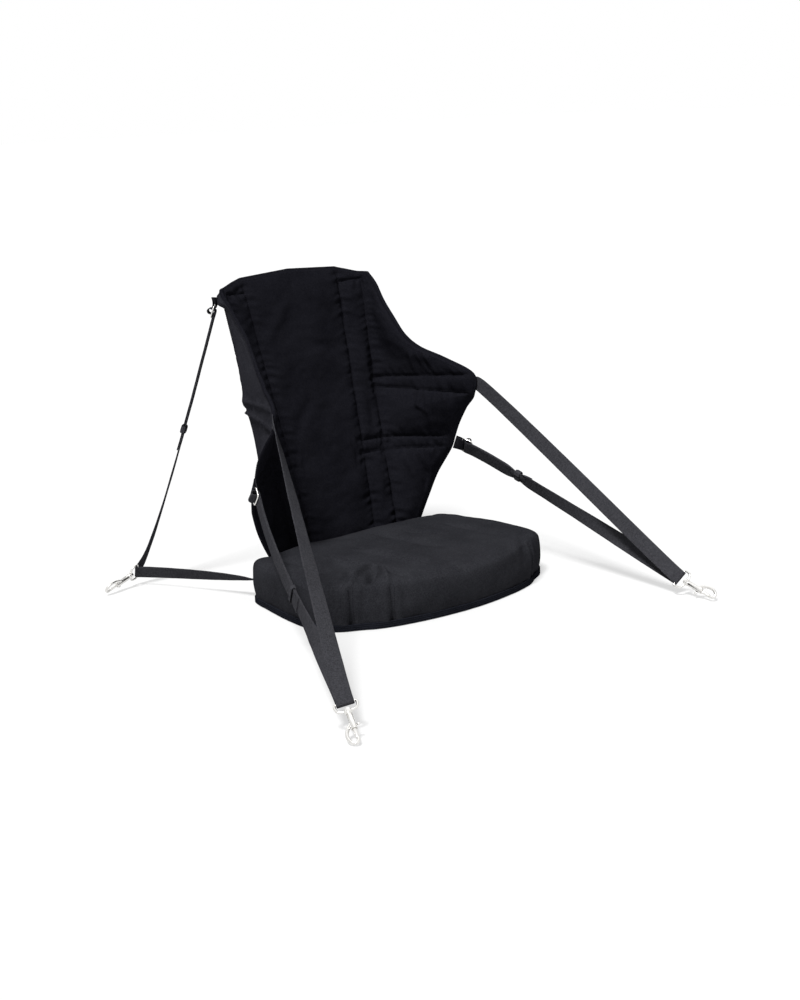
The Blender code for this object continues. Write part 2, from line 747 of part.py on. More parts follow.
def build_strap(word, sewn_end, slider, keeper_at, slack, twist_power):
    """One length of webbing: sewn end, round the hook's eye bar, through the slider and
    back along itself as a tail under its keeper."""
    sewn, sewn_way, sewn_across = sewn_end
    eye, bar, lead = HOOKS[word]
    bar = square_to(bar, lead.normalized())
    hold = EYE_BAR_R + 0.0004 + WEB_THICK / 2.0
    under_end = slider.at(BAR_PITCH + 0.004, -(UNDER + LAYER))
    way_sewn = square_to(sewn - eye, bar)
    way_slider = square_to(under_end - eye, bar)
    leave = (way_sewn + way_slider).normalized()
    up = bar.cross(leave).normalized()
    if up.dot(way_sewn - way_slider) < 0.0:
        up = -up
    first = run_points(sewn + sewn_way * 0.003, sewn_way, eye + up * hold, leave,
                       slack[0], slack[1], 14)
    first.insert(0, sewn)
    second = run_points(eye - up * hold, leave, under_end, slider.way, slack[2], slack[3], 18)
    run_length = sum((q - p).length for p, q in zip(second, second[1:]))
    # The strap twists only where it is single
    single = 1.0 - (keeper_at + TAIL_PAST_KEEPER + 0.030) / run_length
    stations = []
    for i, point in enumerate(first[:-1]):
        t = 1.0 - (1.0 - i / (len(first) - 1)) ** twist_power
        across = turn_between(sewn_across, bar, t)
        along = (first[i + 1] - first[max(i - 1, 0)]).normalized()
        square = square_to(across, along)
        flat = ease(i / 4.0) * ease((len(first) - 1 - i) / 4.0)
        stations.append((point, turn_between(across, square, flat)))
    for i in range(7):
        angle = math.pi * i / 6.0
        point = eye + up * (hold * math.cos(angle)) - leave * (hold * math.sin(angle))
        stations.append((point, bar))
    goal = slider.bar if slider.bar.dot(bar) > 0.0 else -slider.bar
    doubled = []
    for i, point in enumerate(second[1:], start=1):
        t = i / (len(second) - 1)
        along = (second[min(i + 1, len(second) - 1)] - second[i - 1]).normalized()
        across = turn_between(bar, goal, ease(t / single))
        across = turn_between(across, square_to(across, along), ease(i / 5.0))
        stations.append((point, across))
        doubled.append((point, across))
    thread = threaded_points(slider)
    stations += [(point, goal) for point in thread[1:]]
    doubled.append((slider.at(BAR_PITCH, -(UNDER + LAYER)), goal))
    # The tail lies on the strap, on the slider's side of it
    path = list(reversed(doubled))
    travelled = 0.0
    tail = []
    keeper_done = False
    for i in range(1, len(path)):
        here, across = path[i]
        travelled += (here - path[i - 1][0]).length
        nxt = path[min(i + 1, len(path) - 1)][0]
        along = (nxt - path[i - 1][0]).normalized()
        wide = square_to(across, along)
        normal = along.cross(wide)
        if i == 1:
            sign = 1.0 if normal.dot(slider.bulge) > 0.0 else -1.0
        normal = normal * sign
        if travelled > 0.008:
            tail.append((here + normal * LAYER, across))
        if not keeper_done and travelled >= keeper_at:
            keeper_done = True
            build_keeper(word, here + normal * (LAYER / 2.0), along, wide, normal)
        elif keeper_done:
            break
    ribbon("webbing_" + word, stations + tail, WEB_WIDTH, WEB_THICK, WEBBING)


def build_straps():
    # word, side, way the slider hangs (None: straight at the hook), bulge side,
    # slack of the two runs at both ends, strap length from slider to keeper
    fronts = (("front_right", 1.0, None, Vector((0.97, 0.02, 0.30)),
               (0.03, 0.05, 0.05, 0.10), 0.105),
              ("front_left", -1.0, Vector((-0.25, -0.62, -0.74)), Vector((-1.0, 0.20, -0.10)),
               (0.03, 0.05, 0.20, 0.22), 0.250))
    for word, side, way, bulge, slack, keeper_at in fronts:
        eye = HOOKS[word][0]
        root, root_way, root_across = edge_root(side, LOWER_CHANNEL_ROWS[0])
        root += root_way * (1.5 * GAP)
        if way is None:
            way = (eye - root).normalized() + root_way * 0.8
        slider = Slider(root, root_way, root_across, way, bulge)
        build_slider(word, slider)
        build_tab(word, slider)
        build_strap(word, edge_root(side, UPPER_CHANNEL_ROWS[0]), slider, keeper_at, slack,
                    1.0)
    for word, side in (("rear_left", -1.0), ("rear_right", 1.0)):
        eye = HOOKS[word][0]
        s_tab, h_tab = quilt_place(2.0, CREASE_ROW)
        on_cloth = back_point(side * s_tab, h_tab, -PAD_THICK)
        outward = (back_point(side * s_tab, h_tab, -PAD_THICK - 0.01) - on_cloth).normalized()
        root = on_cloth + outward * (WEB_THICK + 4.0 * GAP)
        way = (eye - root).normalized()
        root_way = square_to(way, outward)
        slider = Slider(root, root_way, root_way.cross(outward), way,
                        Vector((side * 0.76, 0.65, 0.04)))
        build_slider(word, slider)
        build_tab(word, slider)
        build_strap(word, seat_root(side, REAR_STRAP_Z), slider, 0.195,
                    (0.10, 0.06, 0.06, 0.04), 2.5)


# Bolt snaps
def tube_along(points, radius, sides, closed, normal_hint):
    """Vertices and faces of a round bar along points."""
    verts = []
    faces = []
    count = len(points)
    for i, point in enumerate(points):
        if closed:
            along = (points[(i + 1) % count] - points[i - 1]).normalized()
        else:
            along = (points[min(i + 1, count - 1)] - points[max(i - 1, 0)]).normalized()
        side = square_to(normal_hint, along)
        other = along.cross(side)
        for k in range(sides):
            angle = 2.0 * math.pi * k / sides
            verts.append(point + side * (radius * math.cos(angle))
                         + other * (radius * math.sin(angle)))
    spans = count if closed else count - 1
    for i in range(spans):
        a = i * sides
        b = ((i + 1) % count) * sides
        for k in range(sides):
            m = (k + 1) % sides
            faces.append((a + k, a + m, b + m, b + k))
    if not closed:
        faces.append(tuple(reversed(range(sides))))
        faces.append(tuple(range((count - 1) * sides, count * sides)))
    return verts, faces


def turned(profile, sides):
    """Vertices and faces turned round the Y axis from (radius, y) points, on-axis ends."""
    verts = []
    faces = []
    rings = []
    for radius, y in profile:
        if radius == 0.0:
            rings.append([len(verts)])
            verts.append(Vector((0.0, y, 0.0)))
        else:
            ring = []
            for k in range(sides):
                angle = 2.0 * math.pi * (k + 0.5) / sides
                ring.append(len(verts))
                verts.append(Vector((radius * math.cos(angle), y, radius * math.sin(angle))))
            rings.append(ring)
    for low, high in zip(rings, rings[1:]):
        for k in range(sides):
            m = (k + 1) % sides
            if len(low) == 1:
                faces.append((low[0], high[k], high[m]))
            elif len(high) == 1:
                faces.append((low[k], high[0], low[m]))
            else:
                faces.append((low[k], high[k], high[m], low[m]))
    return verts, faces


def boolean(target, tool, operation):
    """Apply an exact Boolean and drop the tool."""
    cut = target.modifiers.new("cut", "BOOLEAN")
    cut.operation = operation
    cut.object = tool
    graph = bpy.context.evaluated_depsgraph_get()
    result = bpy.data.meshes.new_from_object(target.evaluated_get(graph))
    target.modifiers.clear()
    target.data = result
    bpy.data.objects.remove(tool, do_unlink=True)


def eye_mesh():
    """The flat-topped loop for the webbing, with the swivel's hub in its far side."""
    inner = EYE_HALF
    path = [Vector((-inner, 0, 0)), Vector((-inner / 3, 0, 0)), Vector((inner / 3, 0, 0)),
            Vector((inner, 0, 0)), Vector((inner * 1.01, EYE_DEPTH * 0.55, 0)),
            Vector((inner * 0.80, EYE_DEPTH * 0.88, 0)), Vector((inner * 0.36, EYE_DEPTH, 0)),
            Vector((-inner * 0.36, EYE_DEPTH, 0)), Vector((-inner * 0.80, EYE_DEPTH * 0.88, 0)),
            Vector((-inner * 1.01, EYE_DEPTH * 0.55, 0))]
    loop = add_object("eye_loop", *tube_along(path, EYE_BAR_R, 6, True, Vector((0, 0, 1))),
                      NICKEL)
    low = EYE_DEPTH - HUB_LENGTH / 2.0
    high = EYE_DEPTH + HUB_LENGTH / 2.0
    hub = add_object("hub", *turned([(0.0, low), (HUB_R, low), (HUB_R, high), (0.0, high)], 12),
                     NICKEL)
    boolean(loop, hub, "UNION")
    bore = PIN_R + PIN_CLEAR
    drill = add_object("drill", *turned([(0.0, low - 0.002), (bore, low - 0.002),
                                         (bore, high + 0.002), (0.0, high + 0.002)], 12), NICKEL)
    boolean(loop, drill, "DIFFERENCE")
    return loop


def body_mesh():
    """Swivel pin, barrel with its bore and knob slot, and the curved hook."""
    hub_low = EYE_DEPTH - HUB_LENGTH / 2.0
    hub_high = EYE_DEPTH + HUB_LENGTH / 2.0
    head = PIN_R + 0.0012
    profile = [(0.0, hub_low - 0.0022), (head, hub_low - 0.0018), (head, hub_low - GAP),
               (PIN_R, hub_low - GAP), (PIN_R, hub_high + GAP), (COLLAR_R, hub_high + GAP),
               (COLLAR_R, hub_high + 0.0025), (BARREL_R, hub_high + 0.0040),
               (BARREL_R, BARREL_END), (0.0, BARREL_END)]
    body = add_object("body", *turned(profile, 12), NICKEL, smooth=True)
    start = Vector((BARREL_R - 0.0012, BARREL_END - 0.0100, 0.0))
    tip = Vector((0.0, HOOK_TIP_Y, 0.0))
    top = HOOK_TOP_Y - HOOK_WIRE_R
    side = HOOK_SIDE
    path = [start, Vector((side * 0.62, BARREL_END - 0.0040, 0.0)),
            Vector((side * 0.92, BARREL_END + 0.0050, 0.0)),
            Vector((side * 0.96, BARREL_END + 0.0140, 0.0)),
            Vector((side * 0.74, top - 0.0030, 0.0)),
            Vector((side * 0.36, top, 0.0)), Vector((0.0012, top - 0.0016, 0.0)),
            Vector((-0.0004, top - 0.0050, 0.0)), tip]
    hook = add_object("hook", *tube_along(path, HOOK_WIRE_R, 8, False, Vector((0, 0, 1))),
                      NICKEL, smooth=True)
    boolean(body, hook, "UNION")
    bore = add_object("bore", *turned([(0.0, BORE_START), (BORE_R, BORE_START),
                                       (BORE_R, BARREL_END + 0.004),
                                       (0.0, BARREL_END + 0.004)], 12), NICKEL)
    boolean(body, bore, "DIFFERENCE")
    near = KNOB_AT - STROKE - KNOB_R - 0.0004
    far = KNOB_AT + KNOB_R + 0.0004
    half = SLOT_WIDTH / 2.0
    corners = [(x, y, z) for z in (-half, half) for x, y in
               ((0.0, near), (-BARREL_R - 0.002, near), (-BARREL_R - 0.002, far), (0.0, far))]
    sides = [(0, 1, 2, 3), (7, 6, 5, 4), (0, 4, 5, 1), (1, 5, 6, 2), (2, 6, 7, 3), (3, 7, 4, 0)]
    slot = add_object("slot", corners, sides, NICKEL)
    boolean(body, slot, "DIFFERENCE")
    return body


def bolt_mesh():
    """The sliding bolt with its thumb knob."""
    radius = BORE_R - 0.0003
    rear = KNOB_AT - 0.0030
    front = HOOK_TIP_Y - GAP
    profile = [(0.0, rear), (radius, rear), (radius, front - 0.0008),
               (radius - 0.0006, front), (0.0, front)]
    bolt = add_object("bolt", *turned(profile, 12), NICKEL, smooth=True)
    stem_path = [Vector((-0.0010, KNOB_AT, 0)), Vector((-KNOB_REACH + 0.0012, KNOB_AT, 0))]
    stem = add_object("stem", *tube_along(stem_path, KNOB_R, 8, False, Vector((0, 0, 1))),
                      NICKEL, smooth=True)
    boolean(bolt, stem, "UNION")
    head_path = [Vector((-BARREL_R - 0.0012, KNOB_AT, 0)), Vector((-KNOB_REACH, KNOB_AT, 0))]
    head = add_object("head", *tube_along(head_path, KNOB_R * 1.7, 8, False,
                                          Vector((0, 0, 1))), NICKEL, smooth=True)
    boolean(bolt, head, "UNION")
    return bolt


def spring_mesh():
    """The coil that pushes the bolt shut."""
    low = BORE_START + GAP + SPRING_WIRE_R
    high = KNOB_AT - 0.0030 - GAP - SPRING_WIRE_R
    radius = BORE_R - 0.0004 - SPRING_WIRE_R
    steps = SPRING_TURNS * SPRING_STEPS
    points = []
    for i in range(steps + 1):
        angle = 2.0 * math.pi * i / SPRING_STEPS
        points.append(Vector((radius * math.cos(angle), lerp(low, high, i / steps),
                              radius * math.sin(angle))))
    return add_object("spring", *tube_along(points, SPRING_WIRE_R, 4, False,
                                            Vector((0, 1, 0.001))), SPRING_STEEL)


def build_hooks():
    parts = {"hook_eye_": eye_mesh(), "hook_body_": body_mesh(), "hook_bolt_": bolt_mesh(),
             "hook_spring_": spring_mesh()}
    for word, (eye, bar, lead) in HOOKS.items():
        lead = lead.normalized()
        bar = square_to(bar, lead)
        out = bar.cross(lead)
        frame = Matrix((bar, lead, out)).transposed().to_4x4()
        frame.translation = eye
        for prefix, pattern in parts.items():
            made = bpy.data.objects.new(prefix + word, pattern.data)
            made.matrix_world = frame
            bpy.context.scene.collection.objects.link(made)
    for pattern in parts.values():
        bpy.data.objects.remove(pattern, do_unlink=True)


clear_scene()
build_seat()
build_back()
build_flap()
build_straps()
build_hooks()
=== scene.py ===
"""Looks of the kayak seat: quilted back, seat pad, webbing, sliders and bolt snaps.

Frame: +X to the sitter's left, -Y is the way the seat faces, +Z up. Left and right in the names
are those of someone who looks at the seat from its front.
Units: metres. Cloth coordinates on the back: s along the cloth from the centre line,
h up the slope, n out of the front face.
"""
import math

import bmesh
import bpy
import numpy as np
from mathutils import Matrix, Vector, noise
from mathutils.bvhtree import BVHTree


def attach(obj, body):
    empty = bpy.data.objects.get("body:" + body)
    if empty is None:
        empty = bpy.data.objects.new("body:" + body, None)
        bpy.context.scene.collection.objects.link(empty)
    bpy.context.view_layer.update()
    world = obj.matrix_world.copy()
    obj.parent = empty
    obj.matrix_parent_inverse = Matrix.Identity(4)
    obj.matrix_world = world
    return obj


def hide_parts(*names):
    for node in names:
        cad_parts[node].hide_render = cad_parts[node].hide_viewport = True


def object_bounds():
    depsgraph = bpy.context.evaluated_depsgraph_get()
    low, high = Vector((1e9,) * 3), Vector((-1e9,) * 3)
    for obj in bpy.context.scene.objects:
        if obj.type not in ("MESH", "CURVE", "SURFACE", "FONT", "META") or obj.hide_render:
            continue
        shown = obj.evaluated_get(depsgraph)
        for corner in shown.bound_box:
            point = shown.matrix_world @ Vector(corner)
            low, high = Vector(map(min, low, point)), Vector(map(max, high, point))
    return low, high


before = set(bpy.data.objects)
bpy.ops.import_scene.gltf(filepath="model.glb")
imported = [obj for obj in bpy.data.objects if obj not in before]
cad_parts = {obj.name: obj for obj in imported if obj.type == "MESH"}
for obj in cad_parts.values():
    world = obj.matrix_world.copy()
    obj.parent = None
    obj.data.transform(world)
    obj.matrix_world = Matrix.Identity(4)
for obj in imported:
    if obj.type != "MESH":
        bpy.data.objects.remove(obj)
cad_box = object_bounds()

# Sizes of the part, as in its own source; the wing's edge is a few millimetres further in above
# the upper channel
GAP = 0.0003
SEAT_HALF_WIDTH = 0.240
SEAT_BACK_Y = 0.147
SEAT_FRONT_Y = -0.163
SEAT_TOP_Z = 0.0745
SEAT_CROWN = 0.0045
BASE_THICK = 0.003
HEM_THICK = 0.0026
HEM_TOP_Z = 0.0115
HEM_BOTTOM_Z = 0.0006
# Half of the cushion's plan: share of the half width, share of the way from back to front
SEAT_PLAN = [(0.4167, 0.0), (0.750, 0.0032), (0.8458, 0.0194), (0.8917, 0.0774),
             (0.9292, 0.2161), (0.975, 0.4097), (1.0, 0.6032), (0.9792, 0.7258),
             (0.9083, 0.800), (0.7833, 0.8581), (0.6667, 0.9129), (0.4917, 0.9548),
             (0.2583, 0.9871), (0.0, 1.0)]

RECLINE = math.radians(14.6)
BACK_FOOT = Vector((0.0075, 0.160, 0.069))
PAD_THICK = 0.024
SEAM_DEPTH_FRONT = 0.0085
SEAM_DEPTH_REAR = 0.0065
EDGE_TAPE = 0.0030
MIDDLE_HALF_FOOT = 0.070
MIDDLE_HALF_TOP = 0.101
TOP_SEAM_H = 0.445
BAND_WIDTH = 0.046
BEND_START = 0.008
BEND_LENGTH_FOOT = 0.050
BEND_LENGTH_TOP = 0.026
FLAP_HALF_WIDTH = 0.104
FLAP_THICK = 0.0016
REAR_STRAP_Z = 0.033
BAND_TURN = [(0.0, 6.0), (0.13, 5.0), (0.26, 2.0), (0.36, 8.0), (0.445, 15.0)]
BAND_BEND = 0.020
WING_TURN = [(-0.02, 4.0), (0.0, 10.0), (0.075, 31.0), (0.114, 47.0), (0.154, 56.0),
             (0.178, 63.0), (0.198, 68.0), (0.230, 70.0), (0.270, 73.0), (0.298, 79.0),
             (0.326, 86.0), (0.360, 92.0), (0.400, 98.0), (0.480, 102.0)]
# Rows of the quilting: h at the middle, h at the wing's edge, s of the wing's edge
QUILT_ROWS = [
    (-0.010, -0.008, 0.164), (0.040, 0.035, 0.187), (0.085, 0.075, 0.209),
    (0.134, 0.114, 0.239), (0.157, 0.132, 0.249), (0.186, 0.155, 0.264),
    (0.215, 0.178, 0.286), (0.247, 0.198, 0.3115), (0.266, 0.231, 0.322),
    (0.295, 0.270, 0.2745), (0.320, 0.298, 0.2335), (0.346, 0.327, 0.2090),
    (0.376, 0.361, 0.193), (0.410, 0.400, 0.172), (0.445, 0.439, 0.1560),
    (0.476, 0.452, 0.1520),
]
TOP_DROP_AT_INNER_SEAM = 0.006
TOP_DROP_AT_OUTER_SEAM = 0.022
LOWER_CHANNEL_ROWS = (3, 4)
UPPER_CHANNEL_ROWS = (7, 8)
CREASE_ROW = 14

WEB_WIDTH = 0.025
WEB_THICK = 0.0015
LAYER = WEB_THICK + 0.0004
SLIDER_BAR = 0.0030
SLIDER_SLOT = 0.0060
SLIDER_PLATE = 0.0024
SLIDER_SIDE = 0.0028
KEEPER_LENGTH = 0.011
TAIL_PAST_KEEPER = 0.016
TAB_LENGTH = 0.024
BAR_PITCH = SLIDER_BAR + SLIDER_SLOT
UNDER = SLIDER_PLATE / 2.0 + 0.0004 + WEB_THICK / 2.0

EYE_BAR_R = 0.0020
EYE_HALF = 0.0154
EYE_DEPTH = 0.0150
HUB_R = 0.0052
HUB_LENGTH = 0.0044
PIN_R = 0.0024
PIN_CLEAR = 0.0004
COLLAR_R = 0.0052
BARREL_R = 0.0044
BARREL_END = 0.0500
BORE_R = 0.0029
BORE_START = 0.0255
SLOT_WIDTH = 0.0030
STROKE = 0.008
KNOB_AT = 0.0425
KNOB_R = 0.0012
KNOB_REACH = 0.0095
HOOK_WIRE_R = 0.0025
HOOK_TIP_Y = 0.0655
HOOK_TOP_Y = 0.0765
HOOK_SIDE = 0.0130
SPRING_WIRE_R = 0.0004
SPRING_TURNS = 5
# Middle of the strap bar, direction of that bar, way the hook points
HOOKS = {
    "front_right": (Vector((0.2895, -0.358, 0.0270)), Vector((0.706, -0.337, 0.621)),
                    Vector((0.0, -0.957, -0.290))),
    "front_left": (Vector((-0.4755, -0.439, 0.0360)), Vector((-0.782, 0.610, -0.130)),
                   Vector((-0.365, -0.834, -0.413))),
    "rear_left": (Vector((-0.2915, 0.378, 0.0270)), Vector((-0.300, -0.501, 0.808)),
                  Vector((-0.945, -0.140, -0.290))),
    "rear_right": (Vector((0.262, 0.395, 0.0270)), Vector((0.480, -0.360, 0.760)),
                   Vector((0.300, 0.920, -0.250))),
}

# Looks of the cloth
CLOTH_STEP = 0.0028           # spacing of the back's mesh along the cloth
FLANGE = 0.0030               # flat sewn strip inside the back's edge
EDGE_HALF = 0.00325           # half thickness of the folded edge
EDGE_DEPTH = 0.0075           # how far it lies behind the front cover
SWELL_REACH = 0.024           # the padding is full this far from a seam
EDGE_REACH = 0.028            # and this far from the sewn strip at the edge
WING_THIN = 0.0140            # the wings are padded this much thinner behind
EDGE_TAPER = 0.0045           # the cover sinks to the edge over about this width
EDGE_LOOSE = 0.012            # gathers and folds are full this far from the edge
PUCKER_HIGH = 0.0026
PUCKER_STEP = 0.0085
PUCKER_REACH = 0.0050
FOLD_SHARE = 2.1              # drawn height of a fold against its listed height
SWAY_HIGH, SWAY_SIZE = 0.0052, 0.055
RUMPLE_HIGH, RUMPLE_SIZE = 0.0011, 0.018
REAR_EDGE_TAPER = 0.006
REAR_PUCKER_HIGH = 0.0010
REAR_SWAY_HIGH, REAR_SWAY_SIZE = 0.0014, 0.060
TAB_FLAT_HALF_WIDTH = 0.014
TAB_FLAT_HALF_HEIGHT = 0.016
SEAT_SWAY_HIGH, SEAT_SWAY_SIZE = 0.0036, 0.070
SEAT_RUMPLE_HIGH, SEAT_RUMPLE_SIZE = 0.0003, 0.022
DART_DEEP, DART_WIDE = 0.0042, 0.0036
DART_LIP_HIGH, DART_LIP_AT, DART_LIP_WIDE = 0.0020, 0.011, 0.007
GATHER_MIDDLE = (-0.178, -0.126)   # between the two darts of the front left corner
GATHER_REACH = 0.045
GATHER_HIGH, GATHER_SIZE = 0.0014, 0.010
SIDE_RIPPLE_HIGH, SIDE_RIPPLE_SIZE = 0.0009, 0.035
CLOTH_FRAMES = 20             # steps of the cushion's cloth simulation
SMOOTH_PASSES = 5             # rounds that even out what it moved
STITCH_PITCH = 0.0036
STITCH_LONG = 0.0026
STITCH_THICK = 0.00045

# Camera, fitted to the picture: azimuth, elevation, roll in degrees, place, focal length as a
# share of the picture's height
CAMERA_AZIMUTH = math.radians(-39.717)
CAMERA_ELEVATION = math.radians(13.257)
CAMERA_ROLL = math.radians(-2.589)
CAMERA_PLACE = Vector((-1.7855, -2.149, 0.816))
CAMERA_FOCAL = 1.715
SENSOR_HIGH = 24.0

# Light level of the studio
FLOOR_GREY = 0.60
FLOOR_GLOW = 0.36             # share of the floor's own light, where it is seen directly
GLOW_STRENGTH = 1.72
WORLD_LIGHT = 0.10


def lerp(a, b, t):
    return a + (b - a) * t


def ease(t):
    """0 to 1 with a soft start and end."""
    t = np.clip(t, 0.0, 1.0)
    return t * t * (3.0 - 2.0 * t)


def read_table(table, x):
    return np.interp(x, [row[0] for row in table], [row[1] for row in table])


def smooth_table(values, x):
    """Smooth reading of values at places 0, 1, 2 ... through every one of them."""
    values = np.asarray(values, float)
    x = np.clip(x, 0.0, len(values) - 1.0)
    i = np.minimum(x.astype(int), len(values) - 2)
    t = x - i
    p0 = values[np.maximum(i - 1, 0)]
    p1, p2 = values[i], values[i + 1]
    p3 = values[np.minimum(i + 2, len(values) - 1)]
    return 0.5 * (2 * p1 + (p2 - p0) * t + (2 * p0 - 5 * p1 + 4 * p2 - p3) * t ** 2
                  + (3 * p1 - p0 - 3 * p2 + p3) * t ** 3)


def wander(x, y, z, size):
    """Smooth noise from -1 to 1 over arrays of places, with features of that size."""
    x, y, z = np.broadcast_arrays(x, y, z)
    flat = zip(np.ravel(x) / size, np.ravel(y) / size, np.ravel(z) / size)
    return np.array([noise.noise(place) for place in flat]).reshape(np.shape(x))


# Meshes
def make_piece(name, verts, faces, materials, uv=None, face_material=None, smooth=40.0):
    """A mesh object with its place in its mesh. uv holds one pair for each face corner."""
    mesh = bpy.data.meshes.new(name)
    mesh.from_pydata([tuple(map(float, v)) for v in verts], [], faces)
    if uv is not None:
        layer = mesh.uv_layers.new(name="UVMap")
        layer.data.foreach_set("uv", np.asarray(uv, np.float32).ravel())
    for item in materials:
        mesh.materials.append(item)
    if face_material is not None:
        mesh.polygons.foreach_set("material_index", np.asarray(face_material, np.int32))
    mesh.shade_smooth()
    if smooth < 180.0:
        mesh.set_sharp_from_angle(angle=math.radians(smooth))
    mesh.update()
    thing = bpy.data.objects.new(name, mesh)
    bpy.context.scene.collection.objects.link(thing)
    return thing


def face_out(thing):
    """Point every face outwards, on a closed mesh."""
    work = bmesh.new()
    work.from_mesh(thing.data)
    bmesh.ops.recalc_face_normals(work, faces=work.faces)
    if work.calc_volume(signed=True) < 0.0:
        bmesh.ops.reverse_faces(work, faces=work.faces)
    work.to_mesh(thing.data)
    work.free()
    return thing


def settle(thing):
    """Turn the modifiers of an object into plain mesh."""
    graph = bpy.context.evaluated_depsgraph_get()
    mesh = bpy.data.meshes.new_from_object(thing.evaluated_get(graph))
    thing.modifiers.clear()
    thing.data = mesh
    return thing


def subdivide(thing):
    finer = thing.modifiers.new("finer", "SUBSURF")
    finer.levels = finer.render_levels = 1
    return settle(thing)


def grid_faces(high, wide):
    """Faces of a grid of vertices, row after row."""
    corners = (j * wide + i for j in range(high - 1) for i in range(wide - 1))
    return [(a, a + 1, a + wide + 1, a + wide) for a in corners]


def grid_rim(high, wide):
    """Rows and columns (j, i) round the outside of a grid, in order."""
    rim = [(0, i) for i in range(wide)] + [(j, wide - 1) for j in range(1, high)]
    rim += [(high - 1, i) for i in range(wide - 2, -1, -1)]
    return rim + [(j, 0) for j in range(high - 2, 0, -1)]


def ring_faces(near, far):
    """Faces between two closed rings of as many vertices."""
    return list(zip(near[1:] + near[:1], near, far, far[1:] + far[:1]))


def bar_faces(rings, count):
    """Faces of a bar through rings of count vertices each, capped at both ends."""
    loops = [list(range(j * count, (j + 1) * count)) for j in range(rings)]
    faces = [face for near, far in zip(loops, loops[1:]) for face in ring_faces(near, far)]
    return faces + [tuple(loops[0]), tuple(reversed(loops[-1]))]


def solid_sheet(name, places, cloth, high, wide, finish):
    """A sheet with a wall, from two layers of places, each high rows by wide columns."""
    layer = high * wide
    faces = grid_faces(high, wide)
    faces += [tuple(layer + k for k in reversed(face)) for face in faces]
    rim = [j * wide + i for j, i in grid_rim(high, wide)]
    faces += ring_faces(rim, [layer + k for k in rim])
    uv = [cloth[k] for face in faces for k in face]
    return face_out(make_piece(name, places, faces, [finish], uv, smooth=60.0))


def running_lengths(points):
    """Distance from the first point to each one, along the points."""
    found = [0.0]
    for a, b in zip(points, points[1:]):
        found.append(found[-1] + math.dist(a, b))
    return found


def smooth_path(points, step, closed=False):
    """Points every step along a smooth curve through the given ones."""
    points = [Vector(p) for p in points]
    count = len(points)
    dense = []
    for i in range(count if closed else count - 1):
        if closed:
            p0, p1, p2, p3 = (points[(i + k) % count] for k in (-1, 0, 1, 2))
        else:
            p0, p1 = points[max(i - 1, 0)], points[i]
            p2, p3 = points[i + 1], points[min(i + 2, count - 1)]
        for k in range(12):
            t = k / 12.0
            dense.append(0.5 * (2 * p1 + (p2 - p0) * t
                                + (2 * p0 - 5 * p1 + 4 * p2 - p3) * t ** 2
                                + (3 * p1 - p0 - 3 * p2 + p3) * t ** 3))
    dense.append(points[0].copy() if closed else points[-1])
    lengths = running_lengths(dense)
    pieces = max(3, round(lengths[-1] / step))
    at = np.linspace(0.0, lengths[-1], pieces + 1)
    flat = np.array([tuple(p) for p in dense])
    spread = np.stack([np.interp(at, lengths, flat[:, k]) for k in range(flat.shape[1])], 1)
    found = [Vector(p) for p in spread]
    return found[:-1] if closed else found


def square_to(direction, way):
    return (direction - way * direction.dot(way)).normalized()


def square_length(direction, way):
    return (direction - way * direction.dot(way)).length / direction.length


def tube(points, radius, sides, closed, hint, flat=1.0):
    """Vertices and faces of a bar along points; radius may be a list; flat squeezes the bar
    along hint."""
    verts = []
    faces = []
    count = len(points)
    radii = radius if isinstance(radius, (list, tuple)) else [radius] * count
    for i, point in enumerate(points):
        if closed:
            along = (points[(i + 1) % count] - points[i - 1]).normalized()
        else:
            along = (points[min(i + 1, count - 1)] - points[max(i - 1, 0)]).normalized()
        side = square_to(hint, along)
        other = along.cross(side)
        for k in range(sides):
            angle = 2.0 * math.pi * k / sides
            verts.append(point + side * (radii[i] * flat * math.cos(angle))
                         + other * (radii[i] * math.sin(angle)))
    for i in range(count if closed else count - 1):
        a = i * sides
        b = ((i + 1) % count) * sides
        for k in range(sides):
            m = (k + 1) % sides
            faces.append((a + k, a + m, b + m, b + k))
    if not closed:
        faces.append(tuple(reversed(range(sides))))
        faces.append(tuple(range((count - 1) * sides, count * sides)))
    return verts, faces


def turned(profile, sides):
    """Vertices and faces turned round the Y axis from (radius, y) points, on-axis ends."""
    verts = []
    faces = []
    rings = []
    for radius, y in profile:
        if radius == 0.0:
            rings.append([len(verts)])
            verts.append(Vector((0.0, y, 0.0)))
        else:
            rings.append(list(range(len(verts), len(verts) + sides)))
            for k in range(sides):
                angle = 2.0 * math.pi * (k + 0.5) / sides
                verts.append(Vector((radius * math.cos(angle), y, radius * math.sin(angle))))
    for low, high in zip(rings, rings[1:]):
        for k in range(sides):
            m = (k + 1) % sides
            if len(low) == 1:
                faces.append((low[0], high[k], high[m]))
            elif len(high) == 1:
                faces.append((low[k], high[0], low[m]))
            else:
                faces.append((low[k], high[k], high[m], low[m]))
    return verts, faces


def boolean(target, tool, operation):
    """Apply an exact Boolean and drop the tool."""
    cut = target.modifiers.new("cut", "BOOLEAN")
    cut.operation = operation
    cut.object = tool
    settle(target)
    bpy.data.objects.remove(tool, do_unlink=True)


# Shader groups, each used by several finishes
def new_group(name, inputs, outputs):
    group = bpy.data.node_groups.new(name, "ShaderNodeTree")
    for label, kind, value in inputs:
        socket = group.interface.new_socket(name=label, in_out="INPUT", socket_type=kind)
        if value is not None:
            socket.default_value = value
    for label, kind in outputs:
        group.interface.new_socket(name=label, in_out="OUTPUT", socket_type=kind)
    return group, group.nodes.new("NodeGroupInput"), group.nodes.new("NodeGroupOutput")


